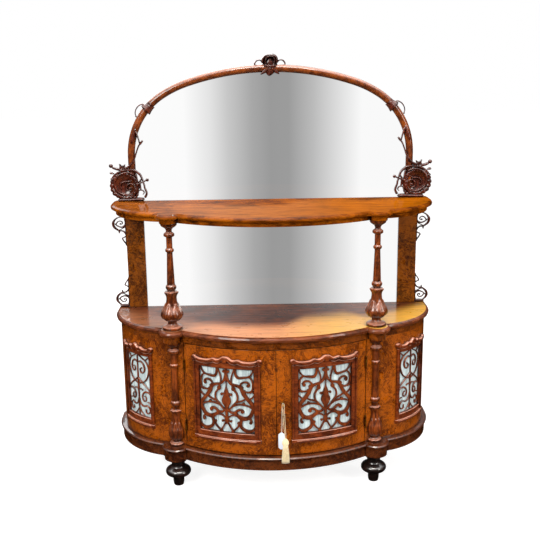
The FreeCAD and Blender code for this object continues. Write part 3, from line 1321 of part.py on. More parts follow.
def crest():
    near, far = number(D.crest_near), number(D.crest_far)
    faces = [blade(CREST_BODY)]
    body = feature("crest_body", board_of(faces, near, far))
    loops = feature("crest_loops", board_of([ribbon(side, [6, 5, 4, 5]) for side in both_hands(CREST_LOOP)],
                                            12.0, 19.0))
    dome = doc.addObject("Part::Ellipsoid", "crest_dome")
    for prop, size in (("Radius1", 20), ("Radius2", 28), ("Radius3", 20)):
        setattr(dome, prop, size)
    place(dome, 0.0, -22.0, 1678.0)
    mouth = doc.addObject("Part::Ellipsoid", "crest_mouth")
    for prop, size in (("Radius1", 7), ("Radius2", 14), ("Radius3", 10)):
        setattr(mouth, prop, size)
    place(mouth, 0.0, -42.0, 1668.0)
    carved = cut("crest_carved", fuse("crest_solid", [body, loops, dome]), mouth)
    finish(cut("crest", carved, ROOM[0]), "crest")


# ---------------------------------------------------------------- tassel and tag
def hung_loop(name, radius, end_depth, over_depth, left, right, foot):
    """A cord that goes up, over the shank of the key and down again.  It lies in
    one plane, which leans back from the ends of the cord to the shank."""
    reach = number(D.shank_radius + radius + D.cord_play)
    middle = VEC(number(D.key_x), -over_depth, number(D.key_level))
    rise = VEC(0, end_depth - over_depth, middle.z - foot)
    length = rise.Length
    rise.normalize()

    def point(across, up):
        return middle + VEC(across, 0, 0) + rise * up

    def touch(end, hand):
        """Where a straight strand from one end meets the bend."""
        across = end - middle.x
        turn = math.atan2(-length, across) + hand * math.acos(reach / math.hypot(across, length))
        return point(reach * math.cos(turn), reach * math.sin(turn))

    ends = [point(left - middle.x, -length), touch(left, -1), touch(right, 1),
            point(right - middle.x, -length)]
    path = Part.Wire([Part.LineSegment(ends[0], ends[1]).toShape(),
                      Part.Arc(ends[1], point(0, reach), ends[2]).toShape(),
                      Part.LineSegment(ends[2], ends[3]).toShape()])
    section = Part.Wire([Part.Circle(ends[0], (ends[1] - ends[0]).normalize(), number(radius)).toShape()])
    tube = path.makePipeShell([section], True, False)
    print(f"{name}: length {path.Length:.1f}, bend radius {reach:.2f}, volume {tube.Volume:.2f},"
          f" section by length {path.Length * math.pi * number(radius) ** 2:.2f}")
    finish(feature(name, tube), name)


def tassel_and_tag():
    tassel_x, tassel_depth = number(D.tassel_x), number(D.tassel_depth)
    top, bottom = number(D.tassel_top), number(D.tassel_top - D.tassel_rise)
    stations = [(bottom, 16.0), (bottom + 45, 15.0), (top - 32, 11.0), (top - 27, 9.5), (top - 24, 12.0),
                (top - 14, 13.5), (top - 4, 9.0), (top, 4.0)]
    sections = []
    for level, half in stations:
        depth = min(half * 0.5, 7.8)
        oval = Part.Ellipse(VEC(tassel_x, -tassel_depth, level), half, depth)
        sections.append(Part.Wire([oval.toShape()]))
    finish(feature("tassel", Part.makeLoft(sections, True, True)), "tassel")
    hung_loop("tassel_cord", D.cord_radius, tassel_depth, number(D.loop_depth), tassel_x - 1.8,
              tassel_x + 1.8,
              top + 0.3)

    tag_x, tag_depth = number(D.tag_x), number(D.tag_depth)
    high, low = number(D.tag_top), number(D.tag_top - D.tag_rise)
    half, corner, thick = number(D.tag_width) / 2, number(D.tag_corner), number(D.tag_thick)
    outline = [(tag_x - half, low + corner), (tag_x - half + corner, low), (tag_x + half - corner, low),
               (tag_x + half, low + corner), (tag_x + half, high - corner), (tag_x + 3, high),
               (tag_x - 3, high), (tag_x - half, high - corner)]
    finish(feature("tag", board_of([polygon(outline)], tag_depth - thick / 2, tag_depth + thick / 2)), "tag")
    hung_loop("tag_string", D.string_radius, tag_depth, tag_depth, tag_x - 1.2, tag_x + 1.2, high + 0.3)


ROOM = []


def main():
    base_top()
    base_frieze()
    plinth()
    upper_shelf()
    bottom_board()
    columns_and_feet()
    stiles_and_boards()
    end_panels()
    doors()
    lock()
    hinges()
    slip_bolts()
    upper_stage()
    ROOM.append(arch_room())
    scroll_bosses()
    brackets()
    tendrils()
    collars()
    crest()
    tassel_and_tag()
    mouldings()
    silks()
    frets()
    doc.recompute()


main()
for item in doc.Objects:
    if "Invalid" in item.State or "Error" in item.State:
        raise RuntimeError(f"{item.Name} did not build: {item.State}")

os.makedirs("parts", exist_ok=True)
for item in PARTS:
    if item.Shape.isNull() or not item.Shape.isValid():
        raise RuntimeError(f"{item.Label} has no sound shape")
    item.Shape.exportStep(f"parts/{item.Label}.step")
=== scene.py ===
"""The looks of the serpentine mirror-back chiffonier, in metres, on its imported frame."""
import math
import random

import bmesh
import bpy
from mathutils import Matrix, Vector


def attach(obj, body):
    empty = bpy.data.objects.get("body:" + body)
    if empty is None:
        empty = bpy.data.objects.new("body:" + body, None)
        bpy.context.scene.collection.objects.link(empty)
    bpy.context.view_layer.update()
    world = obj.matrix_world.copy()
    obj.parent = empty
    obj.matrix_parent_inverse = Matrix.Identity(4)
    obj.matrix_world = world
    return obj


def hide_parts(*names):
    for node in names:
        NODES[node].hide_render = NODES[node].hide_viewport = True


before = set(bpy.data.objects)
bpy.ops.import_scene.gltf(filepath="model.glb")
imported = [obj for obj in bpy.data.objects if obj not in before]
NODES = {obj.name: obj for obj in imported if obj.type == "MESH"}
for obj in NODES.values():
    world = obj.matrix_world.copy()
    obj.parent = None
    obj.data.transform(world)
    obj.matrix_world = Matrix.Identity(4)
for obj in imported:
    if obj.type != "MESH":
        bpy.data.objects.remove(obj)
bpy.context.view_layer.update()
WALL = 0.25585      # how far behind the origin the wall stands
RNG = random.Random(7)


def at(x, depth, z):
    """A point given in millimetres, with its depth measured forward from the wall line."""
    return Vector((x / 1000, WALL - depth / 1000, z / 1000))


def rgb(text):
    """A display colour such as #c8700f as linear light."""
    values = [int(text[i:i + 2], 16) / 255 for i in (1, 3, 5)]
    return tuple(v / 12.92 if v <= 0.04045 else ((v + 0.055) / 1.055) ** 2.4 for v in values) + (1.0,)


# ---------------- materials
class Wires:
    """A node tree that is put together one node at a time.  A value is a number, a
    display colour, or the output of another node."""

    def __init__(self, tree):
        self.tree = tree
        tree.nodes.clear()

    def put(self, socket, value):
        if hasattr(value, "links"):
            self.tree.links.new(value, socket)
        elif value is not None:
            socket.default_value = rgb(value) if isinstance(value, str) else value

    def node(self, kind, settings=None, **inputs):
        made = self.tree.nodes.new("ShaderNode" + kind)
        for name, value in (settings or {}).items():
            setattr(made, name, value)
        return self.feed(made, inputs)

    def feed(self, made, inputs):
        for name, value in inputs.items():
            self.put(made.inputs[name.replace("_", " ")], value)
        return made

    def fill(self, made, *values):
        """The same node, with its first inputs filled in order."""
        for socket, value in zip(made.inputs, values):
            self.put(socket, value)
        return made

    def math(self, how, a, b=None):
        return self.fill(self.node("Math", {"operation": how}), a, b).outputs[0]

    def times(self, first, *others):
        for other in others:
            first = self.math("MULTIPLY", first, other)
        return first

    def weigh(self, *pairs):
        """The sum of some values, each times its weight."""
        shares = [self.times(value, weight) for value, weight in pairs]
        total = shares[0]
        for share in shares[1:]:
            total = self.math("ADD", total, share)
        return total

    def vector(self, how, a, b):
        made = self.fill(self.node("VectorMath", {"operation": how}), a, b)
        return made.outputs["Value" if how == "DOT_PRODUCT" else "Vector"]

    def axis(self, vector, name):
        return self.node("SeparateXYZ", Vector=vector).outputs[name]

    def span(self, value, low, high, to_low=0.0, to_high=1.0, smooth=True):
        """A value moved from one range to another and held within it."""
        made = self.node("MapRange", {"interpolation_type": "SMOOTHSTEP" if smooth else "LINEAR"})
        return self.fill(made, value, low, high, to_low, to_high).outputs[0]

    def ramp(self, value, stops):
        made = self.node("ValToRGB", Fac=value)
        points = made.color_ramp.elements
        while len(points) < len(stops):
            points.new(0.5)
        for point, (spot, colour) in zip(points, stops):
            point.position = spot
            point.color = rgb(colour) if isinstance(colour, str) else (colour, colour, colour, 1)
        return made.outputs[0]

    def either(self, share, first, second):
        """A surface that goes from the first to the second."""
        return self.fill(self.node("MixShader"), share, first.outputs[0], second.outputs[0])

    def show(self, surface, kind="OutputMaterial"):
        self.node(kind, Surface=surface.outputs[0])


class Shader(Wires):
    """A material with a principled body."""

    def __init__(self, name):
        self.material = bpy.data.materials.new(name)
        self.material.use_nodes = True
        super().__init__(self.material.node_tree)
        self.body = self.node("BsdfPrincipled")

    def set(self, **inputs):
        self.feed(self.body, inputs)

    def done(self, surface=None):
        self.show(surface or self.body)
        return self.material

    def polished(self, colour, rough, normal, coat, gloss, shine=0.18):
        """The finished material, with a coat of polish over a body of this colour."""
        self.set(Base_Color=colour, Roughness=rough, Normal=normal, Coat_Weight=coat, Coat_Roughness=gloss,
                 Coat_Normal=normal, Specular_IOR_Level=shine)
        return self.done()

    def veneered(self, colour, where, corner_shade, ripple, edge, coat, gloss, shine=0.18):
        """The finished material of a polished veneer, with painted shade that darkens its
        corners from (sharpness, share), and a slight ripple."""
        power, share = corner_shade
        # painted shade: ambient occlusion darkens the colour in corners and hollows
        corner_darkening = self.span(self.crevice(0.012, power), 0.25, 0.95, share, 0.0)
        rough = self.span(self.noise(where, 16.0), 0.3, 0.7, 0.26, 0.4)
        normal = self.bump(self.noise(where, 24.0, 2.0, 0.5), ripple, 0.002, self.soft_edge(edge))
        return self.polished(self.mix(corner_darkening, colour, "#1c0a04"), rough, normal, coat, gloss, shine)

    def place(self, scale=(1, 1, 1), shift=(0, 0, 0)):
        spots = self.node("TexCoord").outputs["Object"]
        return self.node("Mapping", Vector=spots, Scale=scale, Location=shift).outputs[0]

    def noise(self, where, scale, detail=4.0, rough=0.6, bend=0.0, colour=False):
        made = self.node("TexNoise", Vector=where, Scale=scale, Detail=detail, Roughness=rough,
                         Distortion=bend)
        return made.outputs["Color" if colour else 0]

    def mix(self, share, a, b):
        made = self.node("Mix", {"data_type": "RGBA"})
        for index, value in ((0, share), (6, a), (7, b)):
            self.put(made.inputs[index], value)
        return made.outputs[2]

    def warp(self, where, by, amount):
        """Coordinates pushed about by a coloured noise."""
        centred = self.vector("SUBTRACT", by, (0.5, 0.5, 0.5))
        return self.vector("ADD", where, self.vector("MULTIPLY", centred, (amount, amount, amount)))

    def crevice(self, reach, power):
        """Nought in a corner and one in the open."""
        shade = self.node("AmbientOcclusion", {"samples": 6}, Distance=reach)
        return self.math("POWER", shade.outputs["AO"], power)

    def bump(self, height, strength, distance, normal=None):
        made = self.node("Bump", Height=height, Strength=strength, Distance=distance, Normal=normal)
        return made.outputs[0]

    def soft_edge(self, radius, samples=4):
        return self.node("Bevel", {"samples": samples}, Radius=radius).outputs[0]


FRONT_BOW = 0.72        # how fast the front falls back from the middle, per metre


def burr_walnut(name, light, mid, dark, vein, figure=1.0, shift=(0, 0, 0), gloss=0.06, coat=0.5):
    """Polished burr walnut veneer: clouds, curling dark figure and clusters of small eyes."""
    s = Shader(name)
    base = s.place(shift=shift)
    bent = s.warp(base, s.noise(base, 5.0, 3.0, 0.5, colour=True), 0.16)
    curled = s.warp(bent, s.noise(bent, 30.0, 4.0, 0.6, colour=True), 0.05)
    cloud = s.noise(bent, 9.0, 6.0, 0.62, 0.6)
    grain = s.noise(curled, 110.0, 8.0, 0.75, 0.4)
    tone = s.span(s.weigh((cloud, 0.35), (grain, 0.65)), 0.4, 0.6)
    colour = s.ramp(tone, [(0.0, dark), (0.36, mid), (0.7, light), (1.0, light)])
    ridge = s.math("ABSOLUTE", s.math("SUBTRACT", s.noise(curled, 16.0, 5.0, 0.62, 1.1), 0.5))
    line = s.span(ridge, 0.0, 0.035, 1.0, 0.0)
    patch = s.span(s.noise(base, 13.0), 0.42, 0.6)
    colour = s.mix(s.times(line, patch, 0.7 * figure), colour, vein)
    cells = s.node("TexVoronoi", {"feature": "SMOOTH_F1"}, Vector=curled, Scale=170.0)
    eye = s.span(cells.outputs["Distance"], 0.1, 0.4, 1.0, 0.0)
    flock = s.span(s.noise(base, 20.0), 0.45, 0.62)
    colour = s.mix(s.times(eye, flock, 0.75 * figure), colour, vein)
    colour = s.mix(s.span(s.noise(base, 420.0, 3.0, 0.7), 0.56, 0.72, 0.0, 0.4), colour, vein)
    # (1.3, 0.8) sets the painted shade in the veneer's corners
    return s.veneered(colour, base, (1.3, 0.8), 0.12, 0.0012, coat, gloss)


def streaked_top(name, light, mid, dark, coat, gloss, shine, strip):
    """A veneered top: grain that runs along its length, with a painted glare where strip says: a pale
    reflection and pool of light on its level faces towards the front, from (depth at which it starts,
    depth at which it is full, share, colour at the left, colour at the right).  Coat is the polish at the
    left and at the right."""
    s = Shader(name)
    place = s.place()
    bent = s.warp(s.place((0.16, 1, 1)), s.noise(place, 6.0, 3.0, 0.5, colour=True), 0.035)
    streak = s.noise(bent, 46.0, 7.0, 0.68, 0.5)
    fine = s.noise(bent, 190.0, 4.0, 0.7)
    cloud = s.noise(place, 8.0, 4.0, 0.55)
    tone = s.span(s.weigh((streak, 0.5), (fine, 0.2), (cloud, 0.3)), 0.38, 0.62)
    colour = s.ramp(tone, [(0.0, dark), (0.45, mid), (1.0, light)])
    x, y = s.axis(place, "X"), s.axis(place, "Y")
    ahead = s.math("ADD", s.math("SUBTRACT", WALL, y), s.times(x, x, FRONT_BOW))
    start, full, share, pale, warm = strip
    # painted glare: the pale band reaches deeper towards the back on the right, where it goes golden
    deeper = s.times(s.span(x, 0.02, 0.14, 0.0, 0.11), s.span(x, 0.27, 0.4, 1.0, 0.0))
    level = s.axis(s.node("NewGeometry").outputs["Normal"], "Z")
    # this mask is painted glare, not wear: level faces towards the front go pale, warming to the right,
    # standing for reflected and falling light
    worn = s.times(s.span(s.math("ADD", ahead, deeper), start, full), s.span(level, 0.9, 0.995),
                   s.span(streak, 0.3, 0.6, 0.7, 1.0), s.span(x, -0.5, -0.12, 0.25, 1.0), share)
    colour = s.mix(worn, colour, s.mix(s.span(x, -0.05, 0.3), pale, warm))
    left, right = coat
    polish = left if left == right else s.span(x, -0.1, 0.35, left, right)
    # (1.2, 0.75) sets the painted shade in the top's corners
    return s.veneered(colour, place, (1.2, 0.75), 0.1, 0.0015, polish, gloss, shine)


def straight_walnut(name, light, mid, dark, along, gloss, corner_shade=0.85, edge=0.0015, reach=0.01, worn="#9a5026",
                    outline_shade=0.0, highlight_share=0.0):
    """Solid walnut with a straight grain along one axis, painted shade in its hollows and under
    its mouldings, rubbed on its edges, and, where asked, painted shade on its outlines and a pale painted
    highlight on its crowns."""
    s = Shader(name)
    base = s.place(along)
    bent = s.warp(base, s.noise(base, 8.0, 3.0, 0.5, colour=True), 0.04)
    stripe = s.noise(bent, 120.0, 6.0, 0.6, 0.3)
    cloud = s.noise(s.place(), 14.0)
    tone = s.span(s.weigh((stripe, 0.55), (cloud, 0.45)), 0.36, 0.64)
    colour = s.ramp(tone, [(0.0, dark), (0.5, mid), (1.0, light)])
    corner = s.crevice(reach, 1.2)
    # painted shade: the colour darkens where ambient occlusion finds a corner or hollow
    colour = s.mix(s.span(corner, 0.2, 0.92, corner_shade, 0.0), colour, "#120504")
    rub = s.span(s.times(s.span(corner, 0.93, 1.0), s.noise(s.place(), 60.0, 5.0, 0.7)), 0.42, 0.7)
    colour = s.mix(s.times(rub, 0.35), colour, worn)
    # painted shade: the colour darkens along outlines, where the rounded normal turns away from the face
    if outline_shade:
        turned = s.vector("DOT_PRODUCT", s.soft_edge(outline_shade, 8), s.node("NewGeometry").outputs["Normal"])
        colour = s.mix(s.span(turned, 0.995, 0.9, 0.0, 0.8), colour, "#160604")
    soft = s.soft_edge(edge)
    level = s.axis(soft, "Z")
    # painted shade: faces that look downward are darkened
    colour = s.mix(s.span(level, -0.15, -0.75, 0.0, 0.6), colour, "#1a0804")
    # painted highlight: upward-facing crowns are mixed towards a pale pink
    if highlight_share:
        painted_highlight = s.times(s.span(level, 0.25, 0.75), s.span(stripe, 0.3, 0.6, 0.6, 1.0), highlight_share)
        colour = s.mix(painted_highlight, colour, "#e8a890")
    rough = s.span(s.noise(s.place(), 22.0), 0.3, 0.7, 0.3, 0.42)
    return s.polished(colour, rough, s.bump(stripe, 0.08, 0.0006, soft), 0.75, gloss)


def plain_timber(name, light, dark, along):
    """Unpolished secondary wood, dry and a little dusty."""
    s = Shader(name)
    base = s.place(along)
    rings = s.noise(s.warp(base, s.noise(base, 6.0, 2.0, 0.55, colour=True), 0.05), 60.0, 6.0, 0.6, 0.4)
    colour = s.ramp(s.span(rings, 0.34, 0.66), [(0.0, dark), (1.0, light)])
    stain = s.noise(s.place(), 5.0, 5.0, 0.65)
    colour = s.mix(s.span(stain, 0.5, 0.75, 0.0, 0.5), colour, "#2c1a0f")
    s.set(Base_Color=colour, Roughness=0.72, Normal=s.bump(rings, 0.25, 0.0008), Specular_IOR_Level=0.25)
    return s.done()


def ebony(name):
    """Wood stained black and polished, worn brown in places."""
    s = Shader(name)
    haze = s.noise(s.place(), 30.0, 5.0, 0.6)
    colour = s.ramp(s.span(haze, 0.35, 0.7), [(0.0, "#120b09"), (1.0, "#2a1611")])
    worn = s.span(s.noise(s.place(), 90.0, 6.0, 0.7), 0.6, 0.74)
    colour = s.mix(s.times(worn, 0.4), colour, "#3d2116")
    return s.polished(colour, 0.32, s.bump(haze, 0.12, 0.001, s.soft_edge(0.0012)), 0.8, 0.12, 0.5)


def metal(name, light, dark, rough=0.25):
    """Cast metal with fine scratches, dull in clouds."""
    s = Shader(name)
    cloud = s.noise(s.place(), 70.0, 5.0, 0.65)
    fine = s.noise(s.place((1, 1, 12)), 300.0, 3.0, 0.6)
    colour = s.ramp(s.span(cloud, 0.35, 0.68), [(0.0, dark), (1.0, light)])
    s.set(Base_Color=colour, Metallic=1.0, Roughness=s.span(cloud, 0.3, 0.7, rough, rough + 0.2),
          Normal=s.bump(fine, 0.09, 0.0002, s.soft_edge(0.0004)))
    return s.done()


def mirror_glass(name):
    """Old silvered plate.  Its face glows with a painted reflection, an even light which falls
    off towards the middle of the plate, and it turns to a clear reflection aslant."""
    s = Shader(name)
    share = s.span(s.axis(s.place(), "X"), -0.62, 0.62, 0.0, 1.0, smooth=False)
    painted_reflection_tones = [(0.0, "#fefefe"), (0.215, "#fdfdfd"), (0.30, "#e6e6e6"), (0.36, "#c9c9c9"), (0.44, "#a9a9a9"),
             (0.50, "#9b9b9b"), (0.56, "#9d9d9d"), (0.64, "#bcbcbc"), (0.72, "#dedede"), (0.80, "#fbfbfb")]
    # painted reflection: the plate glows white at its sides and grey in its middle, though it is no lamp
    glow = s.node("Emission", Color=s.ramp(share, painted_reflection_tones), Strength=1.0)
    spots = s.span(s.noise(s.place(), 180.0, 4.0, 0.7), 0.66, 0.78)
    s.set(Base_Color=s.mix(s.times(spots, 0.25), "#eef0f0", "#9a9a96"), Metallic=1.0, Roughness=0.02)
    slant = s.node("LayerWeight", Blend=0.5)
    return s.done(s.either(s.span(slant.outputs["Facing"], 0.08, 0.3, 0.02, 0.9), glow, s.body))


def silk(name):
    """Pale silk in close upright folds, with a slub along the threads."""
    s = Shader(name)
    base = s.place()
    slub = s.noise(s.place((1, 1, 0.05)), 900.0, 3.0, 0.6)
    streak = s.noise(s.place((1, 1, 0.06)), 120.0)
    colour = s.ramp(s.span(streak, 0.34, 0.66), [(0.0, "#b3c4c9"), (0.5, "#c8d9de"), (1.0, "#dcebee")])
    colour = s.mix(s.span(s.noise(base, 14.0), 0.45, 0.75, 0.0, 0.35), colour, "#8fa2a8")
    bands = {"wave_type": "BANDS", "bands_direction": "Z"}
    threads = s.node("TexWave", bands, Vector=base, Scale=700.0, Distortion=1.0).outputs[0]
    s.set(Base_Color=colour, Roughness=0.5, Normal=s.bump(slub, 0.2, 0.0004, s.bump(threads, 0.1, 0.0002)),
          Sheen_Weight=0.5, Sheen_Roughness=0.35, Specular_IOR_Level=0.4)
    return s.done()


def thread(name, light, dark):
    """Spun thread, yellowed in places."""
    s = Shader(name)
    fine = s.noise(s.place((1, 1, 0.1)), 1400.0, 3.0, 0.6)
    colour = s.ramp(s.span(fine, 0.35, 0.65), [(0.0, dark), (1.0, light)])
    colour = s.mix(s.span(s.noise(s.place(), 50.0), 0.5, 0.75, 0.0, 0.25), colour, "#b99a5e")
    s.set(Base_Color=colour, Roughness=0.62, Sheen_Weight=0.4, Normal=s.bump(fine, 0.4, 0.0004))
    return s.done()


def card(name):
    """Plain pale card with a soft pulp."""
    s = Shader(name)
    pulp = s.noise(s.place(), 500.0, 5.0, 0.65)
    colour = s.mix(s.span(s.noise(s.place(), 30.0, 3.0, 0.5), 0.4, 0.7, 0.0, 0.3), "#dbe4f6", "#b9c6de")
    s.set(Base_Color=colour, Roughness=0.75, Normal=s.bump(pulp, 0.15, 0.0003))
    return s.done()


VENEER = burr_walnut("burr_veneer", "#a65204", "#7c3a02", "#4a1c01", "#2e1002", figure=0.75)
FRIEZE = burr_walnut("burr_frieze", "#843f04", "#5c2902", "#351301", "#180701", shift=(0.4, 0.1, 0.3))
PLINTH = burr_walnut("burr_plinth", "#64300f", "#431c09", "#280d05", "#120502", shift=(0.2, 0.5, 0.6),
                     coat=0.6)
# the last tuple of each top is its painted glare: where it starts, where it is full, its share and its
# colours at the left and right
TOP = streaked_top("base_top_veneer", "#8a4a28", "#643018", "#3c1c0c", (0.4, 0.4), 0.05, 0.1,
                   (0.27, 0.4, 0.8, "#f0a878", "#f8be50"))
SHELF_TOP = streaked_top("shelf_veneer", "#9c520a", "#703505", "#341602", (0.24, 0.04), 0.06, 0.0,
                         (0.14, 0.26, 0.5, "#c07840", "#b06208"))
PILASTER = burr_walnut("burr_pilaster", "#8c4a06", "#643203", "#3c1a01", "#1e0a01", figure=0.6,
                       shift=(0.1, 0.7, 0.2), gloss=0.2)
# each walnut below has painted shade in its hollows and beneath, the fret also on its outlines; the first
# three a pale painted highlight on their crowns
MOULDING = straight_walnut("red_walnut", "#84390f", "#602409", "#341004", (0.12, 1, 1), 0.07, highlight_share=0.75)
UPRIGHT = straight_walnut("turned_walnut", "#843c0e", "#582406", "#280c03", (1, 1, 0.12), 0.06, corner_shade=0.97,
                          reach=0.014, highlight_share=0.35)
TUBE = straight_walnut("tube_walnut", "#7c3c10", "#582608", "#300f04", (0.3, 1, 0.3), 0.1, corner_shade=0.6, highlight_share=0.3)
FRET = straight_walnut("fret_walnut", "#7c350d", "#602508", "#3a1305", (1, 1, 0.2), 0.16, corner_shade=0.95,
                       edge=0.0009, reach=0.006, outline_shade=0.004)
CARVED = straight_walnut("carved_walnut", "#5a2416", "#3c150c", "#200906", (1, 1, 0.3), 0.12, reach=0.008,
                         worn="#8a4830")
EBONY = ebony("ebonised")
PINE_UP = plain_timber("back_timber", "#6e4a2c", "#4a2d19", (1, 1, 0.06))
PINE_ACROSS = plain_timber("board_timber", "#7a5232", "#52331d", (0.06, 1, 1))
BRASS = metal("old_brass", "#b98a3a", "#7c5520")
STEEL = metal("lock_steel", "#8d8c88", "#5f5d59", 0.35)
MIRROR = mirror_glass("silvered_glass")
SILK = silk("pale_silk")
CREAM = thread("cream_thread", "#fbeecb", "#dcc290")
STRING = thread("white_string", "#f4f1e6", "#c9c4b4")
CARD = card("tag_card")

LOOKS = {       # a star stands for right and for left
    VENEER: "door_* end_panel_* column_stile_*",
    FRIEZE: "base_frieze",
    PLINTH: "plinth",
    TOP: "base_top",
    SHELF_TOP: "upper_shelf",
    PILASTER: "pilaster_*",
    MOULDING: "door_moulding_* end_mouldings",
    UPRIGHT: "upper_column_* lower_column_*",
    TUBE: "arch_frame",
    FRET: "door_fret_* end_fret_*",
    CARVED: "scroll_boss_* brackets_* tendrils arch_collars crest",
    EBONY: "foot_front_* feet_rear",
    PINE_UP: "base_backboard lower_backboard upper_backboard partition_*",
    PINE_ACROSS: "bottom_board interior_shelf",
    BRASS: "escutcheon key hinges_door_* hinges_fixed bolt_upper bolt_lower bolt_plates",
    STEEL: "lock_case lock_bolt",
    MIRROR: "lower_mirror upper_mirror",
    SILK: "door_silk_* end_silks",
    CREAM: "tassel tassel_cord",
    STRING: "tag_string",
    CARD: "tag",
}
for look, names in LOOKS.items():
    for name in names.split():
        for hand in ("right", "left"):
            worn = NODES[name.replace("*", hand)].data.materials
            worn.clear()
            worn.append(look)


def piece(name, mesh, look, body, replaced=(), smooth=True):
    """A finished mesh as a piece of the object that rides on a body."""
    made = bpy.data.objects.new(name, mesh)
    bpy.context.collection.objects.link(made)
    mesh.materials.append(look)
    if smooth:
        for face in mesh.polygons:
            face.use_smooth = True
    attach(made, body)
    if replaced:
        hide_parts(*replaced)
    return made


# ---------------- mesh tools
def line_through(points, count):
    """Even stations of a smooth line that passes through the given points."""
    spots = [Vector(p) for p in points]
    ends = [spots[0] * 2 - spots[1]] + spots + [spots[-1] * 2 - spots[-2]]
    steps = 14
    fine = []
    for a, b, c, d in zip(ends, ends[1:], ends[2:], ends[3:]):
        for step in range(steps):
            t = step / steps
            fine.append((b * 2 + (c - a) * t + (a * 2 - b * 5 + c * 4 - d) * t * t
                         + (b * 3 - a - c * 3 + d) * t ** 3) / 2)
    fine.append(spots[-1])
    reach = [0.0]
    for before, after in zip(fine, fine[1:]):
        reach.append(reach[-1] + (after - before).length)
    stations, index = [], 0
    for number in range(count):
        goal = reach[-1] * number / (count - 1)
        while index < len(reach) - 2 and reach[index + 1] < goal:
            index += 1
        share = (goal - reach[index]) / max(reach[index + 1] - reach[index], 1e-9)
        stations.append(fine[index].lerp(fine[index + 1], min(max(share, 0.0), 1.0)))
    return stations, reach[-1]


def between(values, share):
    """A value part of the way along a list of them."""
    if len(values) == 1:
        return values[0]
    spot = share * (len(values) - 1)
    index = min(int(spot), len(values) - 2)
    return values[index] + (values[index + 1] - values[index]) * (spot - index)


def circle(count, phase=0.0):
    """The angles of points spread evenly round a circle."""
    return [2 * math.pi * (k + phase) / count for k in range(count)]


def skin(form, rings, closed=True, caps=True):
    """Faces between rings of points that have the same count."""
    rows = [[form.verts.new(point) for point in ring] for ring in rings]
    count = len(rows[0])
    for low, high in zip(rows, rows[1:]):
        for index in range(count if closed else count - 1):
            after = (index + 1) % count
            form.faces.new((low[index], low[after], high[after], high[index]))
    if caps:
        form.faces.new(rows[0][::-1])
        form.faces.new(rows[-1])


def smooth_step(value, low, high):
    share = min(max((value - low) / (high - low), 0.0), 1.0)
    return share * share * (3 - 2 * share)


def notch(value, width):
    """One at nought, dying away over the given width."""
    return math.exp(-((value / width) ** 2))


BOLD = 1.22     # carved strokes are this much wider than their given widths


def stroke(form, points, widths, back, front, groove=0.0, where=at, across=9):
    """A carved scroll: a rounded ridge along a line, with round ends and, where
    groove is given, a hollow cut down its middle.  Sizes are in millimetres."""
    stations, length = line_through([(x, z, 0) for x, z in points], max(8, len(points) * 5))
    rings = []
    for index, here in enumerate(stations):
        share = index / (len(stations) - 1)
        before, after = stations[max(index - 1, 0)], stations[min(index + 1, len(stations) - 1)]
        along = (after - before).normalized()
        side = Vector((-along.y, along.x, 0))
        width = between(widths, share) * BOLD
        tip = min(share, 1 - share) * length / (width * 0.5)
        taper = math.sqrt(max(1 - (1 - min(tip, 1.0)) ** 2, 0.004))
        top = front(share) if callable(front) else front
        rise = (top - back) * (0.45 + 0.55 * taper)
        ring = []
        for step in range(across):
            angle = math.pi * step / (across - 1)
            lift = math.sin(angle) ** 0.8
            dip = groove * notch(angle - math.pi / 2, 0.42)
            spot = here + side * (math.cos(angle) * width * 0.5 * taper)
            ring.append(where(spot.x, back + rise * (lift - dip), spot.y))
        rings.append(ring)
    skin(form, rings)


def strokes(form, rows):
    """Scrolls from a table of points, widths, back, front and groove."""
    for row in rows:
        stroke(form, *row)


def knob(form, x, depth, z, radius, where=at, squash=1.0):
    """A turned bead, a little flattened towards its back."""
    rings = []
    for row in range(1, 9):
        polar = math.pi * row / 9
        out = radius * math.sin(polar)
        rings.append([where(x + out * math.cos(turn), depth - radius * squash * math.cos(polar),
                            z + out * math.sin(turn)) for turn in circle(14)])
    skin(form, rings)


def dish(form, x, z, rim, depths, lobes, ripple):
    """A shallow round carving: a list of shares of the rim with the depth of each."""
    rings = []
    for share, depth in depths:
        ring = []
        ruffle = ripple * smooth_step(share, 0.55, 0.8) * (1 - smooth_step(share, 0.93, 1.0))
        for turn in circle(96):
            out = rim * share + lobes(turn) * max(share - 0.6, 0) / 0.4
            ring.append(at(x + out * math.cos(turn), depth + ruffle * math.cos(turn * 20),
                           z + out * math.sin(turn)))
        rings.append(ring)
    skin(form, rings)


COLUMN_X, COLUMN_DEPTH = 397, 342       # the axis of the columns


def lathe(form, profile, relief, first=0.0, last=360.0, turns=72):
    """A turning on a column's axis from a list of (radius, height), carved by a relief
    that takes the angle and the height and gives how far the wood stands out."""
    stations, _ = line_through([(r, z, 0) for r, z in profile], len(profile) * 7)
    full = last - first >= 360
    rings = []
    for spot in stations:
        ring = []
        for k in range(turns if full else turns + 1):
            turn = math.radians(first + (last - first) * k / turns)
            out = max(spot.x, 0.3) + relief(turn, spot.y)
            ring.append(at(COLUMN_X + out * math.cos(turn), COLUMN_DEPTH - out * math.sin(turn), spot.y))
        rings.append(ring)
    skin(form, rings, closed=full, caps=full)


def turned_over(form):
    """The form of the other hand."""
    bmesh.ops.scale(form, vec=(-1, 1, 1), verts=form.verts)
    bmesh.ops.reverse_faces(form, faces=form.faces)


def finished(form):
    bmesh.ops.recalc_face_normals(form, faces=form.faces)
    mesh = bpy.data.meshes.new("made")
    form.to_mesh(mesh)
    form.free()
    return mesh


def carve(name, make, look, body="carcass", replaced=(), mirror=False):
    """A piece whose form is filled by a function."""
    form = bmesh.new()
    make(form)
    if mirror:
        turned_over(form)
    piece(name, finished(form), look, body, replaced)


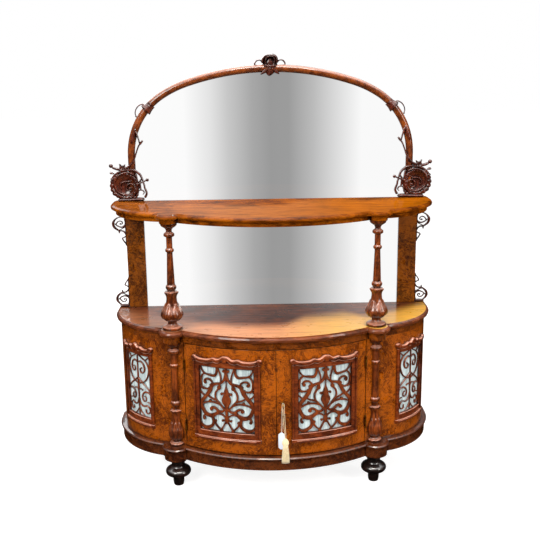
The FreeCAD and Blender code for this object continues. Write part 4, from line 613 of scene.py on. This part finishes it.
def both_hands(label, make, look):
    """The right and left piece of a carving, each in the place of its node."""
    for hand in ("right", "left"):
        node = f"{label}_{hand}"
        carve(node + "_carved", make, look, "carcass", (node,), hand == "left")


def both_sides(make):
    """The same carving on the right and, turned over, on the left, in one form."""
    def fill(form):
        make(form)
        turned_over(form)
        make(form)
    return fill


# ---------------- carving
SPIRAL = [(561, 1223), (578, 1232), (600, 1233), (623, 1225), (638, 1209), (644, 1190), (640, 1172),
          (630, 1156), (613, 1145), (594, 1141), (576, 1146), (564, 1159), (562, 1173), (569, 1185),
          (582, 1188), (593, 1182), (596, 1170), (591, 1160), (580, 1159), (573, 1167), (578, 1173),
          (583, 1170)]
BOSS_BACK = 20      # depth of the ground the boss's scrolls stand on
BOSS_RIM = [(528, 1197), (531, 1207), (538, 1223), (550, 1234), (561, 1242), (579, 1244), (603, 1242),
            (627, 1234), (646, 1218), (654, 1197), (654, 1181), (651, 1163), (641, 1143), (630, 1129)]
BOSS_CURL = [(553, 1146), (550, 1155), (540, 1160), (529, 1158), (525, 1149), (531, 1141)]
BOSS_DISH = [(0.02, 23), (0.3, 23), (0.55, 25), (0.7, 31), (0.84, 36), (0.93, 34), (1.0, 27), (0.99, 20)]
BOSS_STROKES = [
    (SPIRAL, [6, 8, 8, 8, 7, 6, 5, 4, 3.4], 23, lambda share: 41 - 5 * share, 0.12),
    (BOSS_RIM, [6, 8, 8, 8, 8, 9, 9, 8, 7], BOSS_BACK, 39, 0.22),
    ([(555, 1230), (552, 1209), (550, 1189), (549, 1165), (550, 1149), (561, 1126)], [5, 6, 7, 7, 6, 9],
     BOSS_BACK, 40, 0.2),
    ([(528, 1195), (523, 1181), (522, 1171), (516, 1155), (515, 1144), (523, 1128)], [5, 6, 6, 7, 8, 10],
     BOSS_BACK, 38, 0.25),
    (BOSS_CURL, [3.4, 4, 4, 4, 4, 3], BOSS_BACK, 35),
    ([(509, 1203), (518, 1199), (530, 1193), (551, 1186)], [5, 6, 6, 7], BOSS_BACK, 35, 0.15),
    ([(536, 1206), (542, 1190), (541, 1172), (537, 1160)], [5, 9, 9, 5], 19, 31),
    ([(523, 1121), (545, 1123), (590, 1121), (634, 1121)], [11, 13, 13, 12], 19, 38),
    ([(566, 1138), (585, 1131), (608, 1131), (628, 1142)], [4, 7, 8, 6], BOSS_BACK, 38, 0.15),
    ([(562, 1220), (571, 1206), (586, 1197), (604, 1196), (617, 1190), (622, 1177), (615, 1164)],
     [4, 5, 5, 5, 4, 4, 3], 22, 31),
]
BOSS_BEADS = [(509, 1203, 7), (551, 1186, 6.5), (563, 1131, 6), (551, 1142, 5), (582, 1169, 5)]
BOSS_LEAVES = [(660, 1232), (658, 1208), (657, 1184), (655, 1164), (648, 1148)]


def boss(form):
    """The boss beside the arch's foot: a scalloped dish with a spiral of scrolls on it."""
    def scallops(turn):
        degrees = (math.degrees(turn) + 180) % 360 - 180
        if not -46 < degrees < 66:
            return 0.0
        return 5.0 * abs(math.cos(math.radians((degrees + 35) * 10))) ** 0.7

    dish(form, 602, 1179, 58, BOSS_DISH, scallops, 0.9)
    strokes(form, BOSS_STROKES)
    for x, z, radius in BOSS_BEADS:
        knob(form, x, 32, z, radius)
    for x, z in BOSS_LEAVES:
        stroke(form, [(x - 16, z - 3), (x - 6, z), (x + 2, z + 1)], [4, 8, 9], 21, 37)


BRACKETS = [
    ([5, 4, 5, 9, 8, 5],
     [(609, 1040), (618, 1046), (636, 1047), (653, 1037), (662, 1021), (657, 1004), (638, 989)]),
    ([6, 8, 5, 4], [(614, 1043), (610, 1027), (612, 1012), (628, 1005), (645, 1011), (656, 1021)]),
    ([4, 4, 3], [(650, 1017), (643, 1027), (632, 1031), (623, 1025), (625, 1018), (631, 1018)]),
    ([7, 3], [(638, 993), (638, 978)]),
    ([5, 5, 6], [(638, 989), (625, 989), (615, 982), (609, 970)]),
    ([3, 3], [(637, 993), (626, 998), (616, 1003), (609, 1010)]),
    ([4, 4, 4, 5], [(609, 968), (617, 962), (626, 957), (621, 946), (613, 935), (609, 926)]),
]
BRACKET_EDGE = 608.4        # where the brackets meet the pilaster
BRACKET_FOLD = 1713         # twice the height at which the lower bracket is the upper one turned over


def brackets(form):
    """The two pierced brackets of a side, one over the other, and the bar at their foot."""
    def upper(x, depth, z):
        return at(max(x, BRACKET_EDGE), depth, z)

    def lower(x, depth, z):
        return upper(x, depth, BRACKET_FOLD - z)

    for where in (upper, lower):
        for widths, points in BRACKETS:
            stroke(form, points, widths, 12, 21, 0.18 if max(widths) > 5 else 0.0, where)
        stroke(form, [(610.6, 924), (610.6, 985), (610.6, 1046)], [4.2, 4.4, 4.2], 12, 19, where=where)
        knob(form, 631, 17, 1019, 4, where)
        knob(form, 638, 17, 991, 5, where)
    stroke(form, [(609, 666), (630, 666), (651, 666)], [11, 11, 9], 12, 21)


TENDRILS = [
    ([(652, 1256), (630, 1248), (605, 1248), (586, 1256), (568, 1273), (557, 1292), (549, 1315),
      (540, 1338), (531, 1352)], [8, 10, 10, 7, 5, 5, 6], 22, 37, 0.2),
    ([(534, 1345), (521, 1364)], [6, 8], 22, 37),
    ([(533, 1348), (540, 1376), (548, 1404)], [5, 5, 7], 22, 37),
    ([(569, 1350), (559, 1380), (547, 1412)], [9, 14, 5], 22, 37, 0.2),
    ([(598, 1249), (603, 1258), (597, 1268)], [10, 8, 2.5], 23, 36),
    ([(609, 1249), (609, 1258), (609, 1264)], [10, 8, 2.5], 23, 38),
    ([(618, 1249), (616, 1260), (622, 1271)], [10, 8, 2.5], 23, 36),
    ([(600, 1246), (610, 1243), (622, 1246)], [5, 7, 5], 23, 38),
]


def tendrils(form):
    """The leafy stem that climbs from a boss up the side of the arch."""
    strokes(form, TENDRILS)
    knob(form, 655, 29.5, 1262, 8.5)


COLLAR = [(0, 18), (0.0, 21), (0.04, 23), (0.16, 22.6), (0.4, 19.6), (0.7, 17.6), (0.92, 17.2), (0.97, 18.6),
          (1.0, 17.6), (1.0, 15.8)]


def collars(form):
    """The leafy collar round the arch's tube, from (share of its length, radius)."""
    lean, axis = Vector((0.6678, 0.7443)), Vector((-0.7443, 0.6678))
    foot = Vector((504.6, 1483.6))
    rings = []
    for share, radius in COLLAR:
        ring = []
        for turn in circle(64):
            leaf = math.cos(turn * 8)
            out = radius + 1.2 * leaf * (1 - share) ** 0.7
            spot = foot + axis * (34 * share - 2.4 * (1 - share) * leaf) + lean * (out * math.cos(turn))
            ring.append(at(spot.x, max(15 + out * math.sin(turn), 0.4), spot.y))
        rings.append(ring)
    skin(form, rings, caps=False)
    stroke(form, [(508, 1503), (517, 1508), (533, 1501), (544, 1487), (548, 1472), (545, 1460)],
           [4.5, 4, 3.4, 3], 12, 18)
    knob(form, 545, 15, 1459, 3.6)


CREST = [
    ([(1, 1690), (0, 1672), (0, 1655), (0, 1640), (-2, 1625), (-4, 1611)], [34, 46, 50, 50, 38, 10], 2, 28),
    ([(-6, 1648), (-18, 1634), (-38, 1618)], [12, 15, 4], 6, 35, 0.2),
    ([(8, 1648), (20, 1634), (38, 1619)], [12, 15, 4], 6, 35, 0.2),
    ([(0, 1650), (-2, 1632), (-4, 1611)], [12, 12, 4], 8, 38, 0.2),
    ([(-22, 1654), (-24, 1640), (-30, 1624)], [6, 8, 4], 4, 30),
    ([(22, 1654), (24, 1640), (30, 1624)], [6, 8, 4], 4, 30),
    ([(-25, 1656), (-10, 1651), (8, 1650), (27, 1655)], [7, 9, 9, 7], 8, 40, 0.2),
    ([(-29, 1662), (-29, 1678), (-16, 1691), (1, 1693), (18, 1691), (27, 1679), (25, 1662)],
     [8, 10, 10, 10, 10, 10, 8], 4, 37),
    ([(-16, 1660), (-19, 1672), (-12, 1685), (1, 1689), (13, 1686), (20, 1674), (17, 1660)],
     [5, 6, 6, 6, 6, 6, 5], 12, 41),
]
CREST_HORN = [(27, 1663), (36, 1673), (46, 1675), (56, 1670), (61, 1660), (57, 1652)]


def crest(form):
    """The acanthus at the top of the arch, with a horn to each side."""
    strokes(form, CREST)
    for hand in (-1, 1):
        stroke(form, [(hand * x, z) for x, z in CREST_HORN], [6, 5, 4.5, 5, 5, 4], 11, 20)
        knob(form, hand * 56, 16, 1653, 4.6)


both_hands("scroll_boss", boss, CARVED)
both_hands("brackets", brackets, CARVED)
for label, make in (("tendrils", both_sides(tendrils)), ("arch_collars", both_sides(collars)),
                    ("crest", crest)):
    carve(label + "_carved", make, CARVED, replaced=(label,))


# ---------------- turned and carved columns
COLUMN = [
    (30, 660), (37.6, 660), (38.4, 662), (38.8, 667), (37.4, 671), (32, 673), (24, 676), (19.5, 680),
    (17.6, 685), (17.8, 689), (22, 693), (31, 699), (37.4, 706), (40.2, 715), (39.4, 724), (35, 735),
    (29, 746), (24, 758), (20.4, 772), (19, 784), (20.2, 794), (23.6, 803), (25.4, 808), (23, 810),
    (15.6, 811), (14.8, 815), (18.2, 819), (20.6, 824), (20.4, 831), (17, 836), (15.4, 840),
    (15.2, 848), (13.6, 890), (12, 935), (11.2, 962), (13.6, 965), (16.3, 969), (16.3, 975),
    (13.6, 979), (11.8, 982), (11.7, 1000), (11.8, 1021), (15, 1024), (20.3, 1028), (20.3, 1036),
    (15, 1041), (11.6, 1044), (11.8, 1051), (16, 1057), (26, 1064), (30.6, 1069), (31.6, 1077.5),
    (24, 1077.8),
]
HALF_COLUMN = [
    (24, 176.2), (29, 176.4), (29.4, 180), (28.6, 184), (20, 188), (17.2, 194), (18, 198), (24.6, 203),
    (29.4, 213), (30.6, 227), (29, 240), (24, 255), (18.6, 275), (15.4, 292), (15.2, 302), (17.6, 313),
    (20.8, 321), (18, 323), (13.2, 326), (13, 341), (16.6, 343), (19.9, 347), (19.9, 355), (16.4, 361),
    (15.6, 366), (14.2, 420), (13.6, 500), (15, 502), (18, 506), (18, 512), (15, 516), (14.2, 519),
    (14.3, 556), (17.6, 559), (23.6, 563), (23.6, 572), (17.6, 577), (14.3, 580), (14.3, 585),
    (18, 590), (24.4, 595), (25.8, 600), (26, 608.6), (20, 608.8),
]


def leaves(foot, lip, count, height, phase):
    """Carved leaves that wrap a bulb from its foot and open into a lip."""
    sector = 2 * math.pi / count

    def off_middle(turn):
        """How far an angle is from the middle of its leaf, from nought to one."""
        return abs(turn % sector - sector / 2) / (sector / 2)

    def relief(turn, z):
        if not foot < z < lip + 2:
            return 0.0
        share = (z - foot) / (lip - foot)
        off = off_middle(turn + phase)
        bulb = 0.9 * math.sin(math.pi * min(share / 0.62, 1.0)) ** 0.55 if share < 0.62 else 0.0
        raised = height * (1 - smooth_step(off, bulb - 0.16, bulb + 0.04)) if bulb > 0.1 else 0.0
        if bulb > off:
            raised += height * 0.4 * (0.7 * notch(off - 0.3, 0.1) - 0.8 * notch(off, 0.09))
        if share > 0.45:
            turned = off_middle(turn + phase + sector / 2)
            hollow = 0.9 * notch(turned - 1, 0.12) + 0.6 * notch(turned, 0.1)
            raised += smooth_step(share, 0.45, 0.75) * (1.4 * (1 - turned ** 1.6) - hollow)
            raised += 2.6 * smooth_step(share, 0.84, 0.98) * (1 - turned) ** 1.2
            raised -= 1.4 * smooth_step(share, 0.9, 1.0) * turned
        return raised
    return relief


HALF_FACING, HALF_SPREAD = -64.6, 93        # degrees: where a half column looks, and half its sweep


def column(form):
    lathe(form, COLUMN, leaves(694, 808.5, 5, 3.4, 0.5))


def half_column(form):
    lathe(form, HALF_COLUMN, leaves(197, 321.5, 8, 2.8, 0.25), HALF_FACING - HALF_SPREAD,
          HALF_FACING + HALF_SPREAD, 60)


both_hands("upper_column", column, UPRIGHT)
both_hands("lower_column", half_column, UPRIGHT)


# ---------------- frame mouldings and end frets
def on_bow(face, centre_x, centre_y, angle):
    """Where a point (across, proud, height) of a bowed panel lies, in millimetres."""
    turn = math.radians(angle)

    def where(across, proud, height):
        out = math.sqrt((face + proud) ** 2 - across * across)
        x = across * math.cos(turn) + out * math.sin(turn)
        y = across * math.sin(turn) - out * math.cos(turn)
        return Vector(((centre_x + x) / 1000, (centre_y + y) / 1000, height / 1000))
    return where


ON_DOOR = on_bow(632.8, 0.0, 417.85, 17.7)
ON_END = on_bow(276.8, 362.0, 199.85, 45.0)
CREST_LINE = [(0.0, 571), (0.08, 569), (0.17, 560.5), (0.28, 558.5), (0.37, 561.5), (0.45, 557),
              (0.63, 553.5), (0.82, 555.5), (0.93, 560)]      # (share of the half width, height)
SHELL_RIBS = [(-9, 570), (-4.6, 574), (0, 575.4), (4.6, 574), (9, 570)]
EYE_LEVEL, SILL_LEVEL = 559, 235.4


def cresting(form, half, where):
    """The moulded cresting of a frame: a wavy ridge, volutes, a shell, and the sill."""
    ridge = [(share * half, height) for share, height in CREST_LINE]
    ridge = [(-x, z) for x, z in reversed(ridge)][:-1] + ridge
    stroke(form, ridge, [9.5], 1, 12.6, where=where, across=13)
    stroke(form, [(x, z - 11.5) for x, z in ridge], [3.6], 1, 8.4, where=where)
    for hand in (-1, 1):
        eye = hand * (half - 4)
        curl = []
        for step in range(9):
            out, angle = 9 - step * 0.95, step * 1.15
            curl.append((eye - hand * out * math.cos(angle), EYE_LEVEL + out * math.sin(angle)))
        stroke(form, curl, [5.4, 4.6, 3.6, 2.4], 1, 12.8, where=where)
        knob(form, eye, 8.6, EYE_LEVEL, 3.4, where)
    for lean, top in SHELL_RIBS:
        rib = [(lean * 0.35, 552), (lean * 0.8, 562), (lean, top)]
        stroke(form, rib, [3.4, 5.4, 4.4], 4, 14.4, 0.18, where)
    sill = [(-half - 1, SILL_LEVEL), (0, SILL_LEVEL), (half + 1, SILL_LEVEL)]
    stroke(form, sill, [9.6], 1, 11.6, where=where, across=13)


END_FRET = [
    ([4.2, 5, 5, 5],
     [(0.0, 1.0), (0.3, 0.955), (0.66, 0.9), (0.86, 0.8), (0.8, 0.69), (0.62, 0.6), (0.3, 0.545),
      (0.0, 0.52)]),
    ([4.4, 6.5, 5, 3.6],
     [(0.02, 0.86), (0.24, 0.885), (0.47, 0.85), (0.56, 0.775), (0.44, 0.71), (0.26, 0.715), (0.22, 0.765),
      (0.34, 0.785)]),
    ([4, 4.4], [(0.84, 0.76), (1.0, 0.74)]),
    ([4, 4], [(0.6, 0.905), (0.8, 0.96), (1.0, 0.985)]),
    ([5, 7, 5.4, 5], [(0.0, 0.62), (0.2, 0.575), (0.55, 0.51), (0.86, 0.44), (1.0, 0.38)]),
    ([4.6, 6.8, 5, 3.6],
     [(0.98, 0.36), (0.76, 0.405), (0.47, 0.395), (0.3, 0.335), (0.36, 0.265), (0.54, 0.255), (0.6, 0.305),
      (0.5, 0.335)]),
    ([4, 4], [(0.34, 0.43), (0.14, 0.44), (0.0, 0.415)]),
    ([4.4, 6.4, 5, 3.6],
     [(0.0, 0.3), (0.13, 0.2), (0.36, 0.165), (0.66, 0.185), (0.84, 0.13), (0.74, 0.065), (0.56, 0.07),
      (0.54, 0.115)]),
    ([4, 4], [(0.66, 0.25), (0.86, 0.235), (1.0, 0.2)]),
    ([4.4, 4], [(0.0, 0.13), (0.2, 0.055), (0.44, 0.0)]),
    ([4, 4], [(0.86, 0.1), (1.0, 0.03)]),
]
END_BUDS = [(0.34, 0.785, 3.6), (0.5, 0.335, 3.8), (0.54, 0.115, 3.6), (0.34, 0.43, 3.6), (0.62, 0.6, 3.8)]


FRET_HALF, FRET_LOW, FRET_RISE = 72.0, 264.0, 266.0     # the light of an end
FRET_BACK, FRET_FACE = -6.0, -0.4                       # measured from the panel's own face


def end_fret(form):
    """The open scrollwork of an end, given as shares of its light, with its rim and bar."""
    def band(points, widths, face=FRET_FACE):
        stroke(form, points, widths, FRET_BACK, face, where=ON_END)

    for side in (-1, 1):
        for widths, points in END_FRET:
            band([(side * u * FRET_HALF, FRET_LOW + t * FRET_RISE) for u, t in points], widths)
        for u, t, radius in END_BUDS:
            knob(form, side * u * FRET_HALF, -3.2, FRET_LOW + t * FRET_RISE, radius, ON_END, 0.75)
        band([(side * 72.4, level) for level in (262, 397, 532)], [4.6])
    for level in (263.4, 530.6):
        band([(across, level) for across in (-72, 0, 72)], [4.6])
    band([(0, level) for level in (530, 470, 400, 330, 264)], [4.4, 5, 8, 5, 4.4], -0.6)


for hand in ("right", "left"):
    turned = hand == "left"
    carve(f"door_cresting_{hand}", lambda form: cresting(form, 135, ON_DOOR), MOULDING, f"{hand}_door",
          mirror=turned)
    carve(f"end_cresting_{hand}", lambda form: cresting(form, 86, ON_END), MOULDING,
          mirror=turned)
    carve(f"end_fret_{hand}_carved", end_fret, FRET, replaced=(f"end_fret_{hand}",), mirror=turned)


# ---------------- cords, tassel and tag
def hung_cord(name, route, diameter, look):
    """A cord hung over the key's shank, as a smooth spline on its given route."""
    data = bpy.data.curves.new(name, "CURVE")
    data.dimensions = "3D"
    data.bevel_depth = diameter / 2
    data.bevel_resolution = 4
    data.use_fill_caps = True
    data.resolution_u = 24
    spline = data.splines.new("NURBS")
    spline.points.add(len(route) - 1)
    for point, spot in zip(spline.points, route):
        point.co = (*at(*spot), 1)
    spline.order_u = 3
    spline.use_endpoint_u = True
    data.materials.append(look)
    made = bpy.data.objects.new(name + "_line", data)
    bpy.context.collection.objects.link(made)
    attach(made, "right_door")
    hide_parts(name)
    at(*route[0])


TASSEL_X, TASSEL_DEPTH = 33.0, 502.5        # the upright line the tassel hangs on
TASSEL_HEAD = [(1.6, 262), (3.4, 261.2), (5.6, 259.5), (8.6, 256), (11.2, 251.5), (12.8, 246), (13.0, 241),
               (11.8, 236.5), (9.6, 233.5), (8.8, 232)]
TASSEL_CORE = [(9.0, 230), (10.6, 222), (12.6, 205), (13.8, 185), (14.2, 168), (14.0, 161)]
TASSEL_BANDS = (232.6, 230.4, 228.2)
SKIRT_TOP, SKIRT_LENGTH, SKIRT_WAIST, SKIRT_HEM = 229.5, 69, 9.4, 14.9
SKIRT_THREADS, THREAD_RADIUS = 46, 0.62


def oval(half, level, ridges=0.0, count=26, deep=None):
    """A ring round the tassel, ridged by its threads; deep is its half depth."""
    deep = min(half * 0.55, 7.6) if deep is None else deep
    ring = []
    for turn in circle(104):
        out = 1 + ridges * math.cos(turn * count)
        ring.append(at(TASSEL_X + half * out * math.cos(turn), TASSEL_DEPTH + deep * out * math.sin(turn),
                       level))
    return ring


def tassel(form):
    """A silk tassel: a bound head with a skirt of threads, a little flattened."""
    skin(form, [oval(half, level, 0.035 if 2 < index < 9 else 0.0)
                for index, (half, level) in enumerate(TASSEL_HEAD)])
    for level in TASSEL_BANDS:
        skin(form, [oval(9.2 + math.cos(turn), level + 1.2 * math.sin(turn), deep=5.4 + math.cos(turn))
                    for turn in (-1.5, -0.8, 0, 0.8, 1.5)])
    skin(form, [oval(half, level, 0.04, 30, half * 0.45) for half, level in TASSEL_CORE])
    for layer in range(2):
        for start in circle(SKIRT_THREADS, 0.5 * layer):
            turn = start + 2 * math.pi * RNG.uniform(-0.3, 0.3) / SKIRT_THREADS
            length = RNG.uniform(0.955, 1.0) * SKIRT_LENGTH
            sway, drift = RNG.uniform(-1.0, 1.0), RNG.uniform(-0.05, 0.05)
            rings = []
            for step in range(9):
                share = step / 8
                half = SKIRT_WAIST + (SKIRT_HEM - 0.7 * layer - SKIRT_WAIST) * share ** 0.7
                angle = turn + drift * share
                x = TASSEL_X + half * math.cos(angle) + sway * share * math.sin(share * 3.0) * 0.5
                depth = TASSEL_DEPTH + min(half * 0.5, 7.0) * math.sin(angle)
                rings.append([at(x + THREAD_RADIUS * math.cos(a + share * 9),
                                 depth + THREAD_RADIUS * math.sin(a + share * 9), SKIRT_TOP - length * share)
                              for a in (0, 1.57, 3.14, 4.71)])
            skin(form, rings)


TAG_X = 18.5
TAG_OUTLINE = [(-12.5, 216), (-4.5, 208), (4.5, 208), (12.5, 216), (12.5, 270), (3, 278), (-3, 278),
               (-12.5, 270)]
TAG_RING = [(1.5, 482.35), (1.7, 482.7), (2.9, 482.7), (3.2, 482.35)]       # (radius, depth)


def tag(form):
    """A card tag with cut corners and a ring round its string hole."""
    face, back = ([form.verts.new(at(TAG_X + x, depth, z)) for x, z in TAG_OUTLINE]
                  for depth in (482.4, 481.6))
    form.faces.new(face)
    form.faces.new(back[::-1])
    for index in range(8):
        after = (index + 1) % 8
        form.faces.new((face[index], back[index], back[after], face[after]))
    rings = [[at(TAG_X + radius * math.cos(turn), depth, 272.5 + radius * math.sin(turn))
              for turn in circle(28)] for radius, depth in TAG_RING]
    skin(form, rings, caps=False)


carve("tassel_threads", tassel, CREAM, "right_door", ("tassel",))
form = bmesh.new()
tag(form)
piece("tag_card", finished(form), CARD, "right_door", ("tag",), smooth=False)
hung_cord("tassel_cord", [(31.2, 502.5, 262.3), (21.6, 489.1, 383.5), (20.7, 487.6, 397.4),
                          (29.3, 487.6, 397.4), (29.4, 489.1, 383.5), (34.8, 502.5, 262.3)],
          0.0016, CREAM)
hung_cord("tag_string", [(17.3, 482, 278.3), (21.0, 482, 387.0), (21.0, 482, 397.0), (29.0, 482, 397.0),
                         (28.6, 482, 387.0), (19.7, 482, 278.3)], 0.001, STRING)


# ---------------- silk
SILK_LOW, SILK_HIGH = 262, 532      # the silk's lower and upper edge
SILK_BEHIND = -6.75                 # the crests of its folds, measured from the panel's face
SILK_DEEP = 1.55                    # from the crest of a fold to its valley
SILK_ROWS, SILK_MIDDLE = 24, 12


def pleated(name, node, body, half, where, seed, hand=1):
    """Silk gathered in upright folds behind a fret, on the curve of its panel."""
    rng = random.Random(seed)
    folds = []
    start = -half
    while start < half:
        width = rng.uniform(5.2, 9.4)
        folds.append((start, width, rng.uniform(0.7, 1.0), rng.uniform(-1.6, 1.6)))
        start += width
    columns = int(half * 2 / 0.75)
    grid = []
    for row in range(SILK_ROWS + 1):
        up = row / SILK_ROWS
        pinch = 0.72 + 0.28 * math.sin(math.pi * up)
        line = []
        for column in range(columns + 1):
            across = -half + 2 * half * column / columns
            lean, swell = across, 0.0
            for start, width, size, drift in folds:
                if start <= across < start + width:
                    share = (across - start) / width
                    swell = pinch * size * math.sin(math.pi * share) ** 0.8
                    lean = across + drift * 0.25 * math.sin(up * 5 + start)
                    break
            spot = where(max(-half, min(half, lean)), SILK_BEHIND - SILK_DEEP * (1 - swell),
                         SILK_LOW + (SILK_HIGH - SILK_LOW) * up)
            line.append(Vector((spot.x * hand, spot.y, spot.z)))
        grid.append(line)
    form = bmesh.new()
    skin(form, grid, closed=False, caps=False)
    middle = grid[SILK_MIDDLE]
    width = sum((b - a).length for a, b in zip(middle, middle[1:]))
    made = piece(name, finished(form), SILK, body, (node,))


pleated("silk_right", "door_silk_right", "right_door", 113.5, ON_DOOR, 3)
pleated("silk_left", "door_silk_left", "left_door", 113.5, ON_DOOR, 5, -1)
pleated("silk_end_right", "end_silks", "carcass", 73.5, ON_END, 8)
pleated("silk_end_left", "end_silks", "carcass", 73.5, ON_END, 9, -1)


# ---------------- stage and camera
ROOM_HEIGHT = [(0.0, 0.0), (0.23, 0.004), (0.35, 0.014), (0.55, 0.05), (0.7, 0.2), (0.84, 0.7), (1.0, 1.0)]
LAMPS = [
    # name, place, target, size, power, colour
    ("key", (-2.4, -3.6, 3.4), (0, 0, 0.7), (1.8, 1.8), 170, (1, 0.97, 0.92)),
    ("side", (3.4, -2.6, 2.4), (0, 0, 0.7), (1.0, 2.2), 90, (1, 0.96, 0.9)),
    ("overhead", (0.1, -1.7, 4.3), (0, 0, 0.8), (1.6, 1.0), 130, (1, 0.95, 0.86)),
    ("back", (-1.0, 3.6, 2.6), (0, 0.2, 0.8), (2.4, 1.8), 60, (1, 1, 1)),
]
FLOOR_LEVEL = -0.0004


def room():
    """White paper to the camera, an even fill to all else, and to polished wood a room
    that is bright above and dark below."""
    world = bpy.data.worlds.new("room")
    bpy.context.scene.world = world
    world.use_nodes = True
    w = Wires(world.node_tree)
    seen = w.node("LightPath").outputs
    height = w.axis(w.node("TexCoord").outputs["Generated"], "Z")
    dim = w.ramp(w.span(height, -0.3, 1.0, smooth=False), ROOM_HEIGHT)
    gloss = w.node("Background", Color=dim, Strength=6.0)
    fill = w.node("Background", Color=(1, 0.985, 0.96, 1), Strength=0.42)
    paper = w.node("Background", Color=(1, 1, 1, 1), Strength=1.0)
    light = w.either(seen["Is Glossy Ray"], fill, gloss)
    w.show(w.either(seen["Is Camera Ray"], light, paper), "OutputWorld")


def lamp(name, place, target, size, power, colour):
    data = bpy.data.lights.new(name, "AREA")
    data.shape = "RECTANGLE"
    data.size, data.size_y = size
    data.energy = power
    data.color = colour
    made = bpy.data.objects.new(name, data)
    made.location = place
    made.rotation_euler = (Vector(target) - Vector(place)).to_track_quat("-Z", "Y").to_euler()
    bpy.context.collection.objects.link(made)


def floor_paper():
    """White to the camera but for the shadows, dull to other light, clear to reflections."""
    s = Shader("floor_paper")
    s.set(Base_Color=(0.42, 0.42, 0.42, 1), Roughness=0.9, Specular_IOR_Level=0.0)
    glow = s.node("Emission", Color=(1, 1, 1, 1), Strength=0.86)
    paper = s.fill(s.node("AddShader"), s.body.outputs[0], glow.outputs[0])
    seen = s.node("LightPath").outputs
    dull = s.node("BsdfDiffuse", Color=(0.55, 0.55, 0.55, 1))
    unseen = s.either(seen["Is Glossy Ray"], dull, s.node("BsdfTransparent"))
    return s.done(s.either(seen["Is Camera Ray"], unseen, paper))


def stage():
    bpy.context.scene.view_settings.view_transform = "Standard"
    room()
    for row in LAMPS:
        lamp(*row)
    floor_mesh = bpy.data.meshes.new("floor")
    form = bmesh.new()
    bmesh.ops.create_grid(form, x_segments=1, y_segments=1, size=30)
    form.to_mesh(floor_mesh)
    form.free()
    floor = bpy.data.objects.new("floor", floor_mesh)
    floor.location = (0, 0, FLOOR_LEVEL)
    bpy.context.collection.objects.link(floor)
    floor_mesh.materials.append(floor_paper())


EYE = Vector((-0.0744, -3.4188 + WALL, 1.6208))
YAW, PITCH, ROLL = 0.01914, 0.23376, -0.01222       # radians
SENSOR, LENS = 36, 54.93                            # millimetres


def camera():
    data = bpy.data.cameras.new("camera")
    data.sensor_width = SENSOR
    data.lens = LENS
    data.clip_end = 60
    made = bpy.data.objects.new("camera", data)
    made.matrix_world = (Matrix.Translation(EYE) @ Matrix.Rotation(-YAW, 4, "Z")
                         @ Matrix.Rotation(math.pi / 2 - PITCH, 4, "X") @ Matrix.Rotation(ROLL, 4, "Z"))
    bpy.context.collection.objects.link(made)
    bpy.context.scene.camera = made


stage()
camera()
